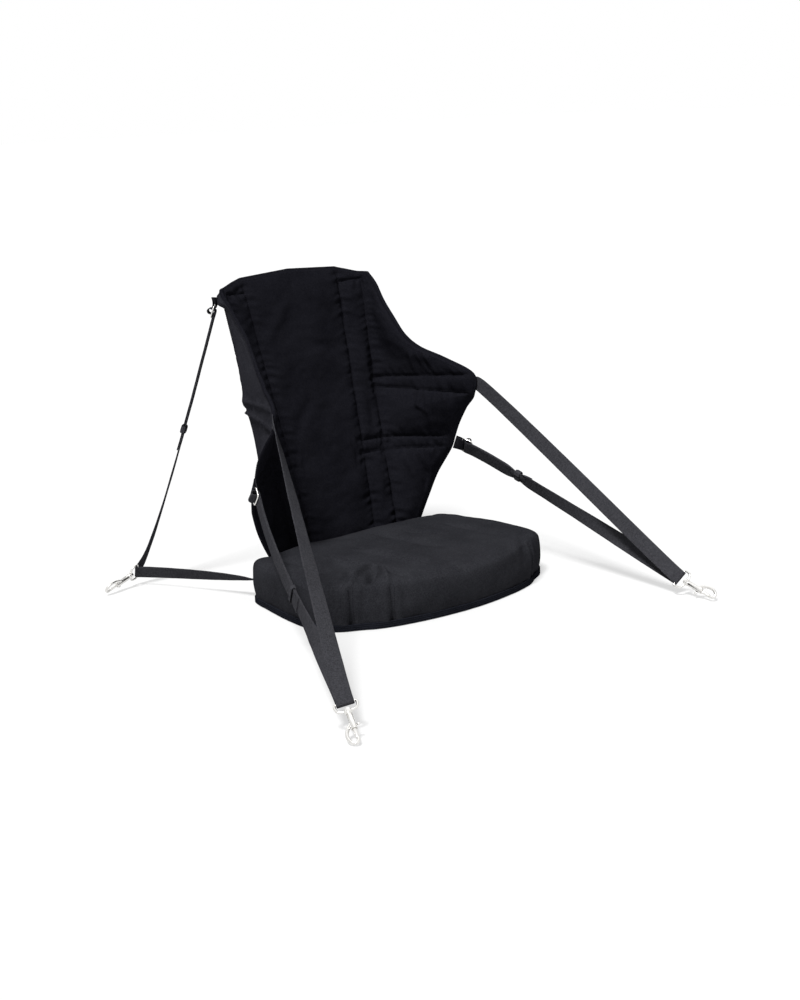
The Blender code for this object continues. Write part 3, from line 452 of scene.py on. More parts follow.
def math_node(tree, operation, a, b=None, c=None):
    node = tree.nodes.new("ShaderNodeMath")
    node.operation = operation
    for i, value in enumerate((a, b, c)):
        if value is None:
            continue
        if isinstance(value, (int, float)):
            node.inputs[i].default_value = value
        else:
            tree.links.new(value, node.inputs[i])
    return node.outputs[0]


def noise_node(tree, vector, scale, detail=3.0, roughness=0.55, stretch=None):
    if stretch is not None:
        mapping = tree.nodes.new("ShaderNodeMapping")
        mapping.inputs["Scale"].default_value = stretch
        tree.links.new(vector, mapping.inputs["Vector"])
        vector = mapping.outputs[0]
    node = tree.nodes.new("ShaderNodeTexNoise")
    node.inputs["Scale"].default_value = scale
    node.inputs["Detail"].default_value = detail
    node.inputs["Roughness"].default_value = roughness
    tree.links.new(vector, node.inputs["Vector"])
    return node.outputs[0]


def group_node(tree, group, **values):
    """A shader group placed in a material; values are its inputs, _ for a space."""
    node = tree.nodes.new("ShaderNodeGroup")
    node.node_tree = group
    for name, value in values.items():
        node.inputs[name.replace("_", " ")].default_value = value
    return node


def bump_node(tree, height, strength, distance, under=None):
    node = tree.nodes.new("ShaderNodeBump")
    node.inputs["Strength"].default_value = strength
    node.inputs["Distance"].default_value = distance
    tree.links.new(height, node.inputs["Height"])
    if under is not None:
        tree.links.new(under, node.inputs["Normal"])
    return node.outputs[0]


def seen_directly(tree):
    """1 for what the camera, a mirror or glass sees, 0 for light that falls on things."""
    path = tree.nodes.new("ShaderNodeLightPath")
    bent = math_node(tree, "MAXIMUM", path.outputs["Is Glossy Ray"],
                     path.outputs["Is Transmission Ray"])
    return math_node(tree, "MAXIMUM", path.outputs["Is Camera Ray"], bent)


def wire(tree, wires):
    """Link nodes, each wire being (node, its output, node, its input)."""
    for source, out, target, into in wires:
        tree.links.new(source.outputs[out], target.inputs[into])


def weave_group():
    """Plain weave from coordinates in metres: height of the threads and a shade that changes
    from one short length of yarn to the next."""
    group, start, end = new_group(
        "plain_weave",
        [("Cloth", "NodeSocketVector", None), ("Thread Wide", "NodeSocketFloat", 0.0008),
         ("Thread Long", "NodeSocketFloat", 0.0008)],
        [("Height", "NodeSocketFloat"), ("Thread Shade", "NodeSocketFloat")])
    split = group.nodes.new("ShaderNodeSeparateXYZ")
    group.links.new(start.outputs["Cloth"], split.inputs[0])
    across = math_node(group, "DIVIDE", split.outputs[0], start.outputs["Thread Wide"])
    along = math_node(group, "DIVIDE", split.outputs[1], start.outputs["Thread Long"])
    rounds = []
    shades = []
    floors = []
    for k, (value, other) in enumerate(((across, along), (along, across))):
        part = math_node(group, "FRACT", value)
        centred = math_node(group, "MULTIPLY_ADD", part, 2.0, -1.0)
        rounds.append(math_node(group, "SUBTRACT", 1.0,
                                math_node(group, "MULTIPLY", centred, centred)))
        floors.append(math_node(group, "FLOOR", value))
        shade = group.nodes.new("ShaderNodeTexWhiteNoise")
        shade.noise_dimensions = "2D"
        yarn = group.nodes.new("ShaderNodeCombineXYZ")
        group.links.new(floors[-1], yarn.inputs[0])
        length = math_node(group, "MULTIPLY_ADD", other, 0.45, 500.0 * k)
        group.links.new(math_node(group, "FLOOR", length), yarn.inputs[1])
        group.links.new(yarn.outputs[0], shade.inputs["Vector"])
        shades.append(shade.outputs["Value"])
    over = math_node(group, "PINGPONG", math_node(group, "ADD", *floors), 1.0)
    for pair, name in ((rounds, "Height"), (shades, "Thread Shade")):
        mix = group.nodes.new("ShaderNodeMix")
        group.links.new(over, mix.inputs[0])
        group.links.new(pair[0], mix.inputs[2])
        group.links.new(pair[1], mix.inputs[3])
        group.links.new(mix.outputs[0], end.inputs[name])
    return group


def use_group():
    """Soft fading, lint and rubbed places from object coordinates."""
    group, start, end = new_group(
        "used_cloth",
        [("Place", "NodeSocketVector", None), ("Patch Scale", "NodeSocketFloat", 14.0)],
        [("Fading", "NodeSocketFloat"), ("Lint", "NodeSocketFloat")])
    cloud = group.nodes.new("ShaderNodeTexNoise")
    cloud.inputs["Detail"].default_value = 4.0
    group.links.new(start.outputs["Place"], cloud.inputs["Vector"])
    group.links.new(start.outputs["Patch Scale"], cloud.inputs["Scale"])
    group.links.new(cloud.outputs[0], end.inputs["Fading"])
    speck = noise_node(group, start.outputs["Place"], 900.0, 1.0)
    lint = math_node(group, "MULTIPLY", math_node(group, "SUBTRACT", speck, 0.66), 6.0)
    lint_clear = math_node(group, "MAXIMUM", lint, 0.0)
    group.links.new(lint_clear, end.inputs["Lint"])
    return group


def wear_group():
    """Fine scratches and rubbed edges of plated metal."""
    group, start, end = new_group(
        "metal_wear",
        [("Place", "NodeSocketVector", None), ("Scratch Scale", "NodeSocketFloat", 1.0)],
        [("Scratches", "NodeSocketFloat"), ("Rubbed Edge", "NodeSocketFloat")])
    fine = noise_node(group, start.outputs["Place"], 260.0, 6.0, 0.7, (1.0, 7.0, 1.0))
    scaled = math_node(group, "MULTIPLY", fine, start.outputs["Scratch Scale"])
    group.links.new(scaled, end.inputs["Scratches"])
    geometry = group.nodes.new("ShaderNodeNewGeometry")
    edge = math_node(group, "MULTIPLY_ADD", geometry.outputs["Pointiness"], 9.0, -4.6)
    edge = math_node(group, "MINIMUM", math_node(group, "MAXIMUM", edge, 0.0), 1.0)
    group.links.new(edge, end.inputs["Rubbed Edge"])
    return group


WEAVE = weave_group()
USED = use_group()
WEAR = wear_group()


def new_finish(name, roughness, metallic=0.0):
    made = bpy.data.materials.new(name)
    made.use_nodes = True
    tree = made.node_tree
    shader = tree.nodes["Principled BSDF"]
    shader.inputs["Roughness"].default_value = roughness
    shader.inputs["Metallic"].default_value = metallic
    return made, tree, shader


def colour_between(tree, factor, dark, light):
    mix = tree.nodes.new("ShaderNodeMix")
    mix.data_type = "RGBA"
    tree.links.new(factor, mix.inputs[0])
    mix.inputs[6].default_value = (*dark, 1.0)
    mix.inputs[7].default_value = (*light, 1.0)
    return mix.outputs[2]


def cloth_finish(name, dark, light, thread=(0.0008, 0.0008), roughness=0.85, relief=0.00010,
                 fade=0.5, melange=0.4):
    """Woven cloth: dark to light by thread, fading and lint, with weave and small wrinkles."""
    made, tree, shader = new_finish(name, roughness)
    coordinates = tree.nodes.new("ShaderNodeTexCoord")
    weave = group_node(tree, WEAVE, Thread_Wide=thread[0], Thread_Long=thread[1])
    tree.links.new(coordinates.outputs["UV"], weave.inputs["Cloth"])
    used = group_node(tree, USED)
    tree.links.new(coordinates.outputs["Object"], used.inputs["Place"])
    shade = math_node(tree, "MULTIPLY", weave.outputs["Thread Shade"], melange)
    shade = math_node(tree, "MULTIPLY_ADD", used.outputs["Fading"], fade, shade)
    shade = math_node(tree, "MULTIPLY_ADD", used.outputs["Lint"], 0.25, shade)
    tree.links.new(colour_between(tree, shade, dark, light), shader.inputs["Base Color"])
    rough = math_node(tree, "MULTIPLY_ADD", used.outputs["Fading"], 0.16, roughness - 0.08)
    tree.links.new(rough, shader.inputs["Roughness"])
    shader.inputs["Specular IOR Level"].default_value = 0.0
    creases = noise_node(tree, coordinates.outputs["Object"], 95.0, 3.0, 0.5)
    coarse = bump_node(tree, creases, 0.5, 0.0006)
    fine = bump_node(tree, weave.outputs["Height"], 0.6, relief, coarse)
    tree.links.new(fine, shader.inputs["Normal"])
    return made


def metal_finish(name, colour, dull, roughness, scratches):
    made, tree, shader = new_finish(name, roughness, 1.0)
    coordinates = tree.nodes.new("ShaderNodeTexCoord")
    wear = group_node(tree, WEAR, Scratch_Scale=scratches)
    tree.links.new(coordinates.outputs["Object"], wear.inputs["Place"])
    tarnish = noise_node(tree, coordinates.outputs["Object"], 120.0, 4.0)
    mask = math_node(tree, "MULTIPLY_ADD", wear.outputs["Rubbed Edge"], -0.5, tarnish)
    tree.links.new(colour_between(tree, mask, colour, dull), shader.inputs["Base Color"])
    rough = math_node(tree, "MULTIPLY_ADD", wear.outputs["Scratches"], 0.22, roughness - 0.08)
    tree.links.new(rough, shader.inputs["Roughness"])
    bump = bump_node(tree, wear.outputs["Scratches"], 0.15, 0.0001)
    tree.links.new(bump, shader.inputs["Normal"])
    return made


BLACK_CLOTH = cloth_finish("black_polyester", (0.0060, 0.0060, 0.0088),
                           (0.0180, 0.0180, 0.0232), (0.0010, 0.0010), roughness=0.60,
                           melange=0.5, fade=0.4)
# The rear cover's black polyester, painted lighter: painted light of the lamp on the wings' outer
# faces
PAINTED_LIT_REAR_CLOTH = cloth_finish("black_polyester_painted_lit", (0.012, 0.012, 0.016),
                           (0.045, 0.045, 0.054), melange=0.5)
SEAT_CLOTH = cloth_finish("seat_cloth", (0.0100, 0.0102, 0.0130), (0.056, 0.057, 0.065),
                          (0.0009, 0.0009), melange=0.35, fade=0.45)
# A darker, bluer copy of the seat cloth, painted shade of the cushion's side, worn by the hem
# tape at its foot
SHADED_HEM_CLOTH = cloth_finish("seat_cloth_painted_shade", (0.0060, 0.0066, 0.0095), (0.025, 0.027, 0.036),
                         (0.0009, 0.0009))
STRAP_CLOTH = cloth_finish("strap_webbing", (0.028, 0.028, 0.032), (0.084, 0.084, 0.095),
                           (0.0016, 0.0011), roughness=0.62, relief=0.00025, melange=0.5,
                           fade=0.35)
TAB_CLOTH = cloth_finish("tab_webbing", (0.012, 0.012, 0.015), (0.040, 0.040, 0.047),
                         (0.0016, 0.0011), roughness=0.62, relief=0.0005)
BASE_CLOTH = cloth_finish("base_cloth", (0.010, 0.010, 0.011), (0.030, 0.030, 0.033),
                          (0.0020, 0.0020), roughness=0.7, relief=0.0004)
THREAD = cloth_finish("sewing_thread", (0.005, 0.005, 0.006), (0.018, 0.018, 0.022),
                      (0.0003, 0.0003), roughness=0.55)
NICKEL = metal_finish("bright_nickel", (0.86, 0.85, 0.83), (0.58, 0.57, 0.55), 0.20, 0.9)
SPRING_STEEL = metal_finish("spring_steel", (0.60, 0.60, 0.61), (0.38, 0.38, 0.39), 0.32, 0.8)


# Stitches and springs, by rule
def tree_socket(tree, label, kind, value=None):
    socket = tree.interface.new_socket(name=label, in_out="INPUT", socket_type=kind)
    if value is not None:
        socket.default_value = value
    return socket.identifier


def stitch_tree():
    """Short thread stitches set end to end along edges."""
    tree = bpy.data.node_groups.new("running_stitch", "GeometryNodeTree")
    ids = {"Line": tree_socket(tree, "Line", "NodeSocketGeometry"),
           "Pitch": tree_socket(tree, "Pitch", "NodeSocketFloat", STITCH_PITCH),
           "Size": tree_socket(tree, "Size", "NodeSocketVector",
                               (STITCH_THICK, STITCH_THICK, STITCH_LONG / 2.0)),
           "Thread": tree_socket(tree, "Thread", "NodeSocketMaterial")}
    tree.interface.new_socket(name="Stitches", in_out="OUTPUT",
                              socket_type="NodeSocketGeometry")
    start = tree.nodes.new("NodeGroupInput")
    end = tree.nodes.new("NodeGroupOutput")
    curve = tree.nodes.new("GeometryNodeMeshToCurve")
    spaced = tree.nodes.new("GeometryNodeResampleCurve")
    spaced.mode = "LENGTH"
    bead = tree.nodes.new("GeometryNodeMeshIcoSphere")
    bead.inputs["Radius"].default_value = 1.0
    bead.inputs["Subdivisions"].default_value = 1
    placed = tree.nodes.new("GeometryNodeInstanceOnPoints")
    tangent = tree.nodes.new("GeometryNodeInputTangent")
    turn = tree.nodes.new("FunctionNodeAlignRotationToVector")
    turn.axis = "Z"
    real = tree.nodes.new("GeometryNodeRealizeInstances")
    finish = tree.nodes.new("GeometryNodeSetMaterial")
    wire(tree, ((start, "Line", curve, "Mesh"), (curve, "Curve", spaced, "Curve"),
                (start, "Pitch", spaced, "Length"), (spaced, "Curve", placed, "Points"),
                (bead, "Mesh", placed, "Instance"), (tangent, 0, turn, "Vector"),
                (turn, 0, placed, "Rotation"), (start, "Size", placed, "Scale"),
                (placed, "Instances", real, "Geometry"), (real, "Geometry", finish, "Geometry"),
                (start, "Thread", finish, "Material"), (finish, "Geometry", end, "Stitches")))
    return tree, ids


STITCHES, STITCH_INPUTS = stitch_tree()


def stitch_lines(name, lines, body="seat", pitch=STITCH_PITCH, thick=STITCH_THICK):
    """Stitches along polylines, each (points, closed)."""
    verts = []
    edges = []
    for points, closed in lines:
        first = len(verts)
        verts += [tuple(p) for p in points]
        edges += [(first + i, first + i + 1) for i in range(len(points) - 1)]
        if closed:
            edges.append((first + len(points) - 1, first))
    mesh = bpy.data.meshes.new(name)
    mesh.from_pydata(verts, edges, [])
    thing = bpy.data.objects.new(name, mesh)
    bpy.context.scene.collection.objects.link(thing)
    sewn = thing.modifiers.new("stitches", "NODES")
    sewn.node_group = STITCHES
    sewn[STITCH_INPUTS["Pitch"]] = pitch
    sewn[STITCH_INPUTS["Size"]] = (thick, thick, pitch * 0.36)
    sewn[STITCH_INPUTS["Thread"]] = THREAD
    settle(thing)
    thing.data.shade_smooth()
    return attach(thing, body)


def surface_of(*things):
    verts = []
    faces = []
    for thing in things:
        first = len(verts)
        verts += [v.co.copy() for v in thing.data.vertices]
        faces += [[first + i for i in p.vertices] for p in thing.data.polygons]
    return BVHTree.FromPolygons(verts, faces)


def lay_on(surface, points, lift=0.0002):
    """Each point moved to the nearest place on a surface, and lifted off it."""
    laid = []
    for point in points:
        place, normal, _, _ = surface.find_nearest(Vector(point))
        laid.append(place + normal * lift)
    return laid


# The quilted back
def inner_seam(h):
    return lerp(MIDDLE_HALF_FOOT, MIDDLE_HALF_TOP, h / TOP_SEAM_H)


def outer_seam(h):
    return inner_seam(h) + BAND_WIDTH


def back_points(s, h, n):
    """Places of cloth coordinates, as an array of points."""
    s, h, n = np.broadcast_arrays(*(np.asarray(v, float) for v in (s, h, n)))
    side = np.where(s >= 0.0, 1.0, -1.0)
    reach = np.abs(s)
    band_start = inner_seam(h)
    wing_start = outer_seam(h) - BEND_START
    length = lerp(BEND_LENGTH_FOOT, BEND_LENGTH_TOP, h / TOP_SEAM_H)
    band_turn = np.radians(read_table(BAND_TURN, h))
    wing_turn = np.radians(read_table(WING_TURN, h)) - band_turn
    steps = 40
    step = np.maximum(reach - band_start, 0.0) / steps
    across = np.minimum(reach, band_start)
    forward = np.zeros_like(reach)
    angle = np.zeros_like(reach)
    for i in range(steps):
        at = band_start + step * (i + 0.5)
        angle = band_turn * ease((at - band_start) / BAND_BEND)
        angle = angle + wing_turn * ease((at - wing_start) / length)
        across = across + np.cos(angle) * step
        forward = forward + np.sin(angle) * step
    across = across - n * np.sin(angle)
    forward = forward + n * np.cos(angle)
    up = np.array((0.0, math.sin(RECLINE), math.cos(RECLINE)))
    front = np.array((0.0, -math.cos(RECLINE), math.sin(RECLINE)))
    return (np.array(BACK_FOOT) + h[..., None] * up + forward[..., None] * front
            + (side * across)[..., None] * np.array((1.0, 0.0, 0.0)))


def back_point(s, h, n=0.0):
    return Vector(back_points(s, h, n))


def quilt_places(column, row):
    """Cloth coordinates (s, h) of columns 0..3 on rows 0..15, both as arrays; 1 is the inner
    seam, 2 the outer seam, 3 the wing's edge."""
    column, row = np.broadcast_arrays(np.asarray(column, float), np.asarray(row, float))
    h_mid = smooth_table([r[0] for r in QUILT_ROWS], row)
    h_edge = smooth_table([r[1] for r in QUILT_ROWS], row)
    s_edge = smooth_table([r[2] for r in QUILT_ROWS], row)
    drop = np.interp(column, (0.0, 1.0, 2.0), (0.0, TOP_DROP_AT_INNER_SEAM,
                                               TOP_DROP_AT_OUTER_SEAM))
    h_mid = h_mid - drop * np.clip(row - (len(QUILT_ROWS) - 2), 0.0, 1.0)
    inner = inner_seam(h_mid)
    outer = inner + BAND_WIDTH
    t = np.clip(column - 2.0, 0.0, 1.0)
    s = np.where(column <= 1.0, inner * column, lerp(inner, outer, column - 1.0))
    s = np.where(column > 2.0, lerp(outer, s_edge, t), s)
    return s, lerp(h_mid, h_edge, t)


def swell(away, reach=SWELL_REACH):
    """How far the padding stands up, 0 on a seam to 1 at reach from it."""
    t = np.clip(away / reach, 0.0, 1.0)
    return np.sqrt(1.0 - (1.0 - t) ** 2)


def seams_near(side, column, row):
    """For each place, every seam as (distance from it, way along it)."""
    s, h = quilt_places(column, row)
    far = 1.0
    lines = [(np.abs(s - inner_seam(h)), h + 0.3 * side),
             (np.abs(s - outer_seam(h)), h + 1.7 + 0.3 * side)]
    crossing = [(r, 1.0) for r in LOWER_CHANNEL_ROWS] + [(r, 1.93) for r in UPPER_CHANNEL_ROWS]
    for other, first_column in crossing:
        h_line = quilt_places(column, other)[1]
        level = np.abs(h_line - h) * 0.96
        away = np.where(column >= first_column, level, far)
        beyond = np.hypot(level, (first_column - column) * BAND_WIDTH)
        away = np.where((column < first_column) & (column > first_column - 0.4), beyond, away)
        lines.append((away, s + 3.1 * other))
    h_line = quilt_places(column, CREASE_ROW)[1]
    in_band = (column >= 1.0) & (column <= 2.0)
    lines.append((np.where(in_band, np.abs(h_line - h), far), s + 5.0 * side))
    return s, h, lines


def edge_distance(column, row):
    s, h = quilt_places(column, row)
    s_edge, _ = quilt_places(np.full_like(column, 3.0), row)
    low = quilt_places(column, 0.0)[1]
    high = quilt_places(column, len(QUILT_ROWS) - 1.0)[1]
    wing = np.where(column > 2.0, (s_edge - s) * 0.8, 1.0)
    return np.minimum(np.minimum(wing, h - low), high - h)


def fold(s, h, path, width, high):
    """A rounded ridge (or, with high below 0, a crease) along a path in cloth coordinates,
    fading to both its ends."""
    place = np.stack([s, h], -1)
    best = np.full(np.shape(s), 9.0)
    share = np.zeros(np.shape(s))
    lengths = running_lengths(path)
    for k, (a, b) in enumerate(zip(path, path[1:])):
        a, b = np.array(a), np.array(b)
        leg = b - a
        t = np.clip(((place - a) @ leg) / (leg @ leg), 0.0, 1.0)
        away = np.linalg.norm(place - (a + t[..., None] * leg), axis=-1)
        nearer = away < best
        best = np.where(nearer, away, best)
        share = np.where(nearer, (lengths[k] + t * math.dist(a, b)) / lengths[-1], share)
    taper = np.sin(np.pi * np.clip(share * 0.92 + 0.04, 0.0, 1.0)) ** 0.7
    return high * taper * np.exp(-(best / width) ** 2)


# Folds of the front cover: (side, path, width, height)
BACK_FOLDS = [
    (1, [(0.2211, 0.2911), (0.216, 0.276), (0.214, 0.2631)], 0.0040, 0.0024),
    (1, [(0.2343, 0.2927), (0.2338, 0.2625)], 0.0040, 0.0020),
    (1, [(0.2455, 0.2904), (0.2501, 0.2595)], 0.0045, 0.0022),
    (1, [(0.2121, 0.2333), (0.2151, 0.2215), (0.2052, 0.199), (0.2184, 0.1826)], 0.0042, 0.0028),
    (1, [(0.2241, 0.2303), (0.225, 0.2041), (0.2158, 0.1578)], 0.0045, 0.0028),
    (1, [(0.2436, 0.2313), (0.241, 0.2086), (0.2253, 0.1476)], 0.0045, 0.0026),
    (1, [(0.2611, 0.2242), (0.2599, 0.198), (0.238, 0.1449)], 0.0050, 0.0024),
    (1, [(0.276, 0.226), (0.270, 0.205), (0.262, 0.185)], 0.0040, -0.0016),
    (1, [(0.1535, 0.1194), (0.1641, 0.0848), (0.1698, 0.0448)], 0.0075, 0.0028),
    (1, [(0.2011, 0.1207), (0.2073, 0.097), (0.200, 0.070)], 0.0075, 0.0026),
    (1, [(0.172, 0.116), (0.186, 0.078), (0.183, 0.030)], 0.0060, -0.0018),
    (1, [(0.104, 0.165), (0.112, 0.205), (0.108, 0.240)], 0.0080, -0.0016),
    (1, [(0.126, 0.330), (0.118, 0.290), (0.124, 0.250)], 0.0080, 0.0016),
    (1, [(0.084, 0.120), (0.098, 0.085), (0.094, 0.040)], 0.0080, 0.0018),
    (1, [(0.000, 0.452), (0.038, 0.430), (0.072, 0.390)], 0.0120, 0.0022),
    (1, [(0.010, 0.345), (0.045, 0.330), (0.082, 0.300)], 0.0110, -0.0018),
    (1, [(0.005, 0.160), (0.040, 0.120), (0.060, 0.060)], 0.0130, 0.0018),
    (-1, [(0.020, 0.420), (0.060, 0.380), (0.086, 0.345)], 0.0110, 0.0018),
    (-1, [(0.010, 0.250), (0.045, 0.215), (0.070, 0.170)], 0.0120, -0.0018),
    (-1, [(0.108, 0.300), (0.118, 0.255), (0.110, 0.210)], 0.0080, 0.0018),
    (-1, [(0.200, 0.285), (0.206, 0.262), (0.204, 0.240)], 0.0045, 0.0020),
    (-1, [(0.225, 0.232), (0.226, 0.205), (0.214, 0.165)], 0.0050, 0.0024),
    (-1, [(0.250, 0.225), (0.246, 0.198), (0.234, 0.155)], 0.0050, 0.0022),
    (-1, [(0.158, 0.118), (0.168, 0.080), (0.166, 0.040)], 0.0075, 0.0024),
]


def puckers(lines, high=PUCKER_HIGH):
    """Small gathers that start at each seam and die out."""
    total = 0.0
    for k, (away, along) in enumerate(lines):
        strength = (away / PUCKER_REACH) * np.exp(1.0 - away / PUCKER_REACH)
        wave = wander(along + away * 0.35, away * 0.12, 4.7 * k, PUCKER_STEP)
        total = total + high * 1.6 * strength * wave
    return total


def front_depth(side, column, row):
    s, h, lines = seams_near(side, column, row)
    edge = edge_distance(column, row)
    rise = swell(np.maximum(edge - FLANGE, 0.0), EDGE_REACH)
    for away, _ in lines:
        rise = rise * swell(away)
    n = -SEAM_DEPTH_FRONT * (1.0 - rise) * np.clip(0.35 + edge / 0.020, 0.35, 1.0)
    flange = np.exp(-(edge / EDGE_TAPER) ** 2)
    n = lerp(n, -EDGE_DEPTH, flange)
    loose = np.clip(edge / EDGE_LOOSE, 0.0, 1.0)
    n = n + puckers(lines) * loose + puckers([(np.abs(edge - FLANGE), s + h)], 0.0007) * loose
    n = n + SWAY_HIGH * rise * wander(s * side, h, 2.0, SWAY_SIZE)
    n = n + RUMPLE_HIGH * rise * wander(s * side, h * 1.4, 8.0, RUMPLE_SIZE)
    for of_side, path, width, high in BACK_FOLDS:
        here = np.where(np.broadcast_to(side, s.shape) == of_side, 1.0, 0.0)
        n = n + FOLD_SHARE * fold(s, h, path, width, high) * here * loose
    return n


def rear_depth(side, column, row):
    s, h, lines = seams_near(side, column, row)
    edge = edge_distance(column, row)
    rise = swell(np.maximum(edge - FLANGE, 0.0), EDGE_REACH)
    for away, _ in lines:
        rise = rise * swell(away)
    thin = WING_THIN * ease((column - 1.45) / 0.50) * ease((h - 0.06) / 0.08)
    n = -PAD_THICK + thin + (SEAM_DEPTH_REAR - thin * 0.5) * (1.0 - rise)
    s_tab, h_tab = outer_seam(QUILT_ROWS[CREASE_ROW][0]), QUILT_ROWS[CREASE_ROW][0]
    # The cover lies flat where the rear tab is sewn on
    patch = np.exp(-(((s - s_tab) / TAB_FLAT_HALF_WIDTH) ** 4
                     + ((h - h_tab + 0.004) / TAB_FLAT_HALF_HEIGHT) ** 4))
    n = lerp(n, -PAD_THICK - 0.0005, patch)
    flange = np.exp(-(edge / REAR_EDGE_TAPER) ** 2)
    n = lerp(n, -EDGE_DEPTH - 2.0 * EDGE_HALF, flange)
    loose = np.clip(edge / EDGE_LOOSE, 0.0, 1.0)
    n = n - puckers(lines, REAR_PUCKER_HIGH) * loose
    n = n - REAR_SWAY_HIGH * rise * wander(s * side, h, 21.0, REAR_SWAY_SIZE)
    return n


def grid_lines(stops, lengths):
    """Values from stop to stop, spaced about CLOTH_STEP, with every stop among them."""
    found = []
    for a, b, length in zip(stops, stops[1:], lengths):
        found.append(np.linspace(a, b, max(2, round(length / CLOTH_STEP)), endpoint=False))
    return np.concatenate(found + [[stops[-1]]])


def build_back():
    half = grid_lines([0.0, 1.0, 2.0, 3.0], [0.092, 0.046, 0.125])
    heights = [r[0] for r in QUILT_ROWS]
    rows = grid_lines(list(range(len(QUILT_ROWS))),
                      [b - a for a, b in zip(heights, heights[1:])])
    column = np.concatenate([half[:0:-1], half])
    side = np.concatenate([-np.ones(len(half) - 1), np.ones(len(half))])
    row_grid, column_grid = np.meshgrid(rows, column, indexing="ij")
    side_grid = np.broadcast_to(side, column_grid.shape)
    s, h = quilt_places(column_grid, row_grid)
    high, wide = s.shape
    front = front_depth(side_grid, column_grid, row_grid)
    rear = np.minimum(rear_depth(side_grid, column_grid, row_grid), front - 2.0 * EDGE_HALF)
    cloth_s = s * side_grid
    rim = grid_rim(high, wide)
    at = np.array([(cloth_s[k], h[k]) for k in rim])
    ahead = np.roll(at, -3, 0) - np.roll(at, 3, 0)
    ahead /= np.linalg.norm(ahead, axis=1)[:, None]
    out = np.stack([ahead[:, 1], -ahead[:, 0]], 1)
    n_front = np.array([front[k] for k in rim])
    n_rear = np.array([rear[k] for k in rim])
    points = [back_points(cloth_s, h, front).reshape(-1, 3),
              back_points(cloth_s, h, rear).reshape(-1, 3)]
    cloth = [np.stack([cloth_s.ravel(), h.ravel()], 1)] * 2
    arcs = 5
    for k in range(1, arcs):
        angle = math.pi * k / arcs
        place = at + out * (EDGE_TAPE * math.sin(angle))
        depth = (n_front + n_rear) / 2.0 + (n_front - n_rear) / 2.0 * math.cos(angle)
        points.append(back_points(place[:, 0], place[:, 1], depth))
        cloth.append(place)
    layer = wide * high
    faces = grid_faces(high, wide)
    fronts = len(faces)
    faces += [tuple(layer + v for v in reversed(f)) for f in faces]
    around = len(rim)
    rings = [[j * wide + i for j, i in rim]]
    rings += [[2 * layer + k * around + i for i in range(around)] for k in range(arcs - 1)]
    rings.append([layer + j * wide + i for j, i in rim])
    for near, far in zip(rings, rings[1:]):
        faces += ring_faces(near, far)
    uv = np.concatenate(cloth)[np.concatenate([np.array(f) for f in faces])]
    is_rear = [0] * fronts + [1] * fronts + [0] * (len(faces) - 2 * fronts)
    # Rear faces take the lighter copy of the cloth, painted light on the wings' outer faces
    back = make_piece("back_quilt", np.concatenate(points), faces,
                      [BLACK_CLOTH, PAINTED_LIT_REAR_CLOTH], uv, is_rear, smooth=180.0)
    foams = ["foam_middle"]
    for word in ("left", "right"):
        foams += ["foam_band_lower_" + word, "foam_band_upper_" + word]
        foams += ["foam_wing_%s_%s" % (part, word) for part in ("lower", "middle", "upper")]
    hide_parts("back_front_cover", "back_rear_cover", "back_edge_tape", *foams)
    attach(back, "seat")
    surface = surface_of(back)
    sew_back(surface)
    return surface


def cloth_line(side, column, row, lift, rear=False):
    """Points over the cover along columns and rows given as arrays."""
    column, row = np.broadcast_arrays(np.asarray(column, float), np.asarray(row, float))
    s, h = quilt_places(column, row)
    depth = -PAD_THICK - lift if rear else lift
    return back_points(s * side, h, np.full(s.shape, depth))


def sew_back(surface):
    last = len(QUILT_ROWS) - 1.0
    lines = []
    for side in (-1.0, 1.0):
        rows = np.linspace(0.12, last - 0.15, 160)
        for seam in (1.0, 2.0):
            lines.append((cloth_line(side, seam, rows, -SEAM_DEPTH_FRONT), False))
            lines.append((cloth_line(side, seam, rows, -SEAM_DEPTH_REAR, True), False))
        for row in LOWER_CHANNEL_ROWS:
            lines.append((cloth_line(side, np.linspace(1.0, 2.96, 60), row,
                                     -SEAM_DEPTH_FRONT), False))
        for row in UPPER_CHANNEL_ROWS:
            lines.append((cloth_line(side, np.linspace(1.93, 2.96, 50), row,
                                     -SEAM_DEPTH_FRONT), False))
    laid = [(lay_on(surface, points, 0.0001), closed) for points, closed in lines]
    # The line that holds the folded edge, front and rear
    for rear in (False, True):
        path = []
        columns = np.linspace(0.0, 3.0, 90)
        for side in (1.0, -1.0):
            ring = []
            for row in (0.0, last):
                s, h = quilt_places(columns, row)
                ring.append(np.stack([s * side, h], 1))
            s, h = quilt_places(3.0, np.linspace(0.0, last, 150))
            up = np.stack([s * side, h], 1)
            whole = np.concatenate([ring[0], up, ring[1][::-1]])
            path.append(whole if side > 0 else whole[::-1])
        path = np.concatenate(path)
        ahead = np.roll(path, -4, 0) - np.roll(path, 4, 0)
        size = np.linalg.norm(ahead, axis=1)
        path, ahead = path[size > 1e-6], (ahead[size > 1e-6].T / size[size > 1e-6]).T
        inward = path - np.stack([ahead[:, 1], -ahead[:, 0]], 1) * FLANGE
        depth = -PAD_THICK if rear else 0.0
        points = back_points(inward[:, 0], inward[:, 1], np.full(len(inward), depth))
        laid.append((lay_on(surface, points, 0.0001), True))
    stitch_lines("back_stitches", laid)


back_surface = build_back()


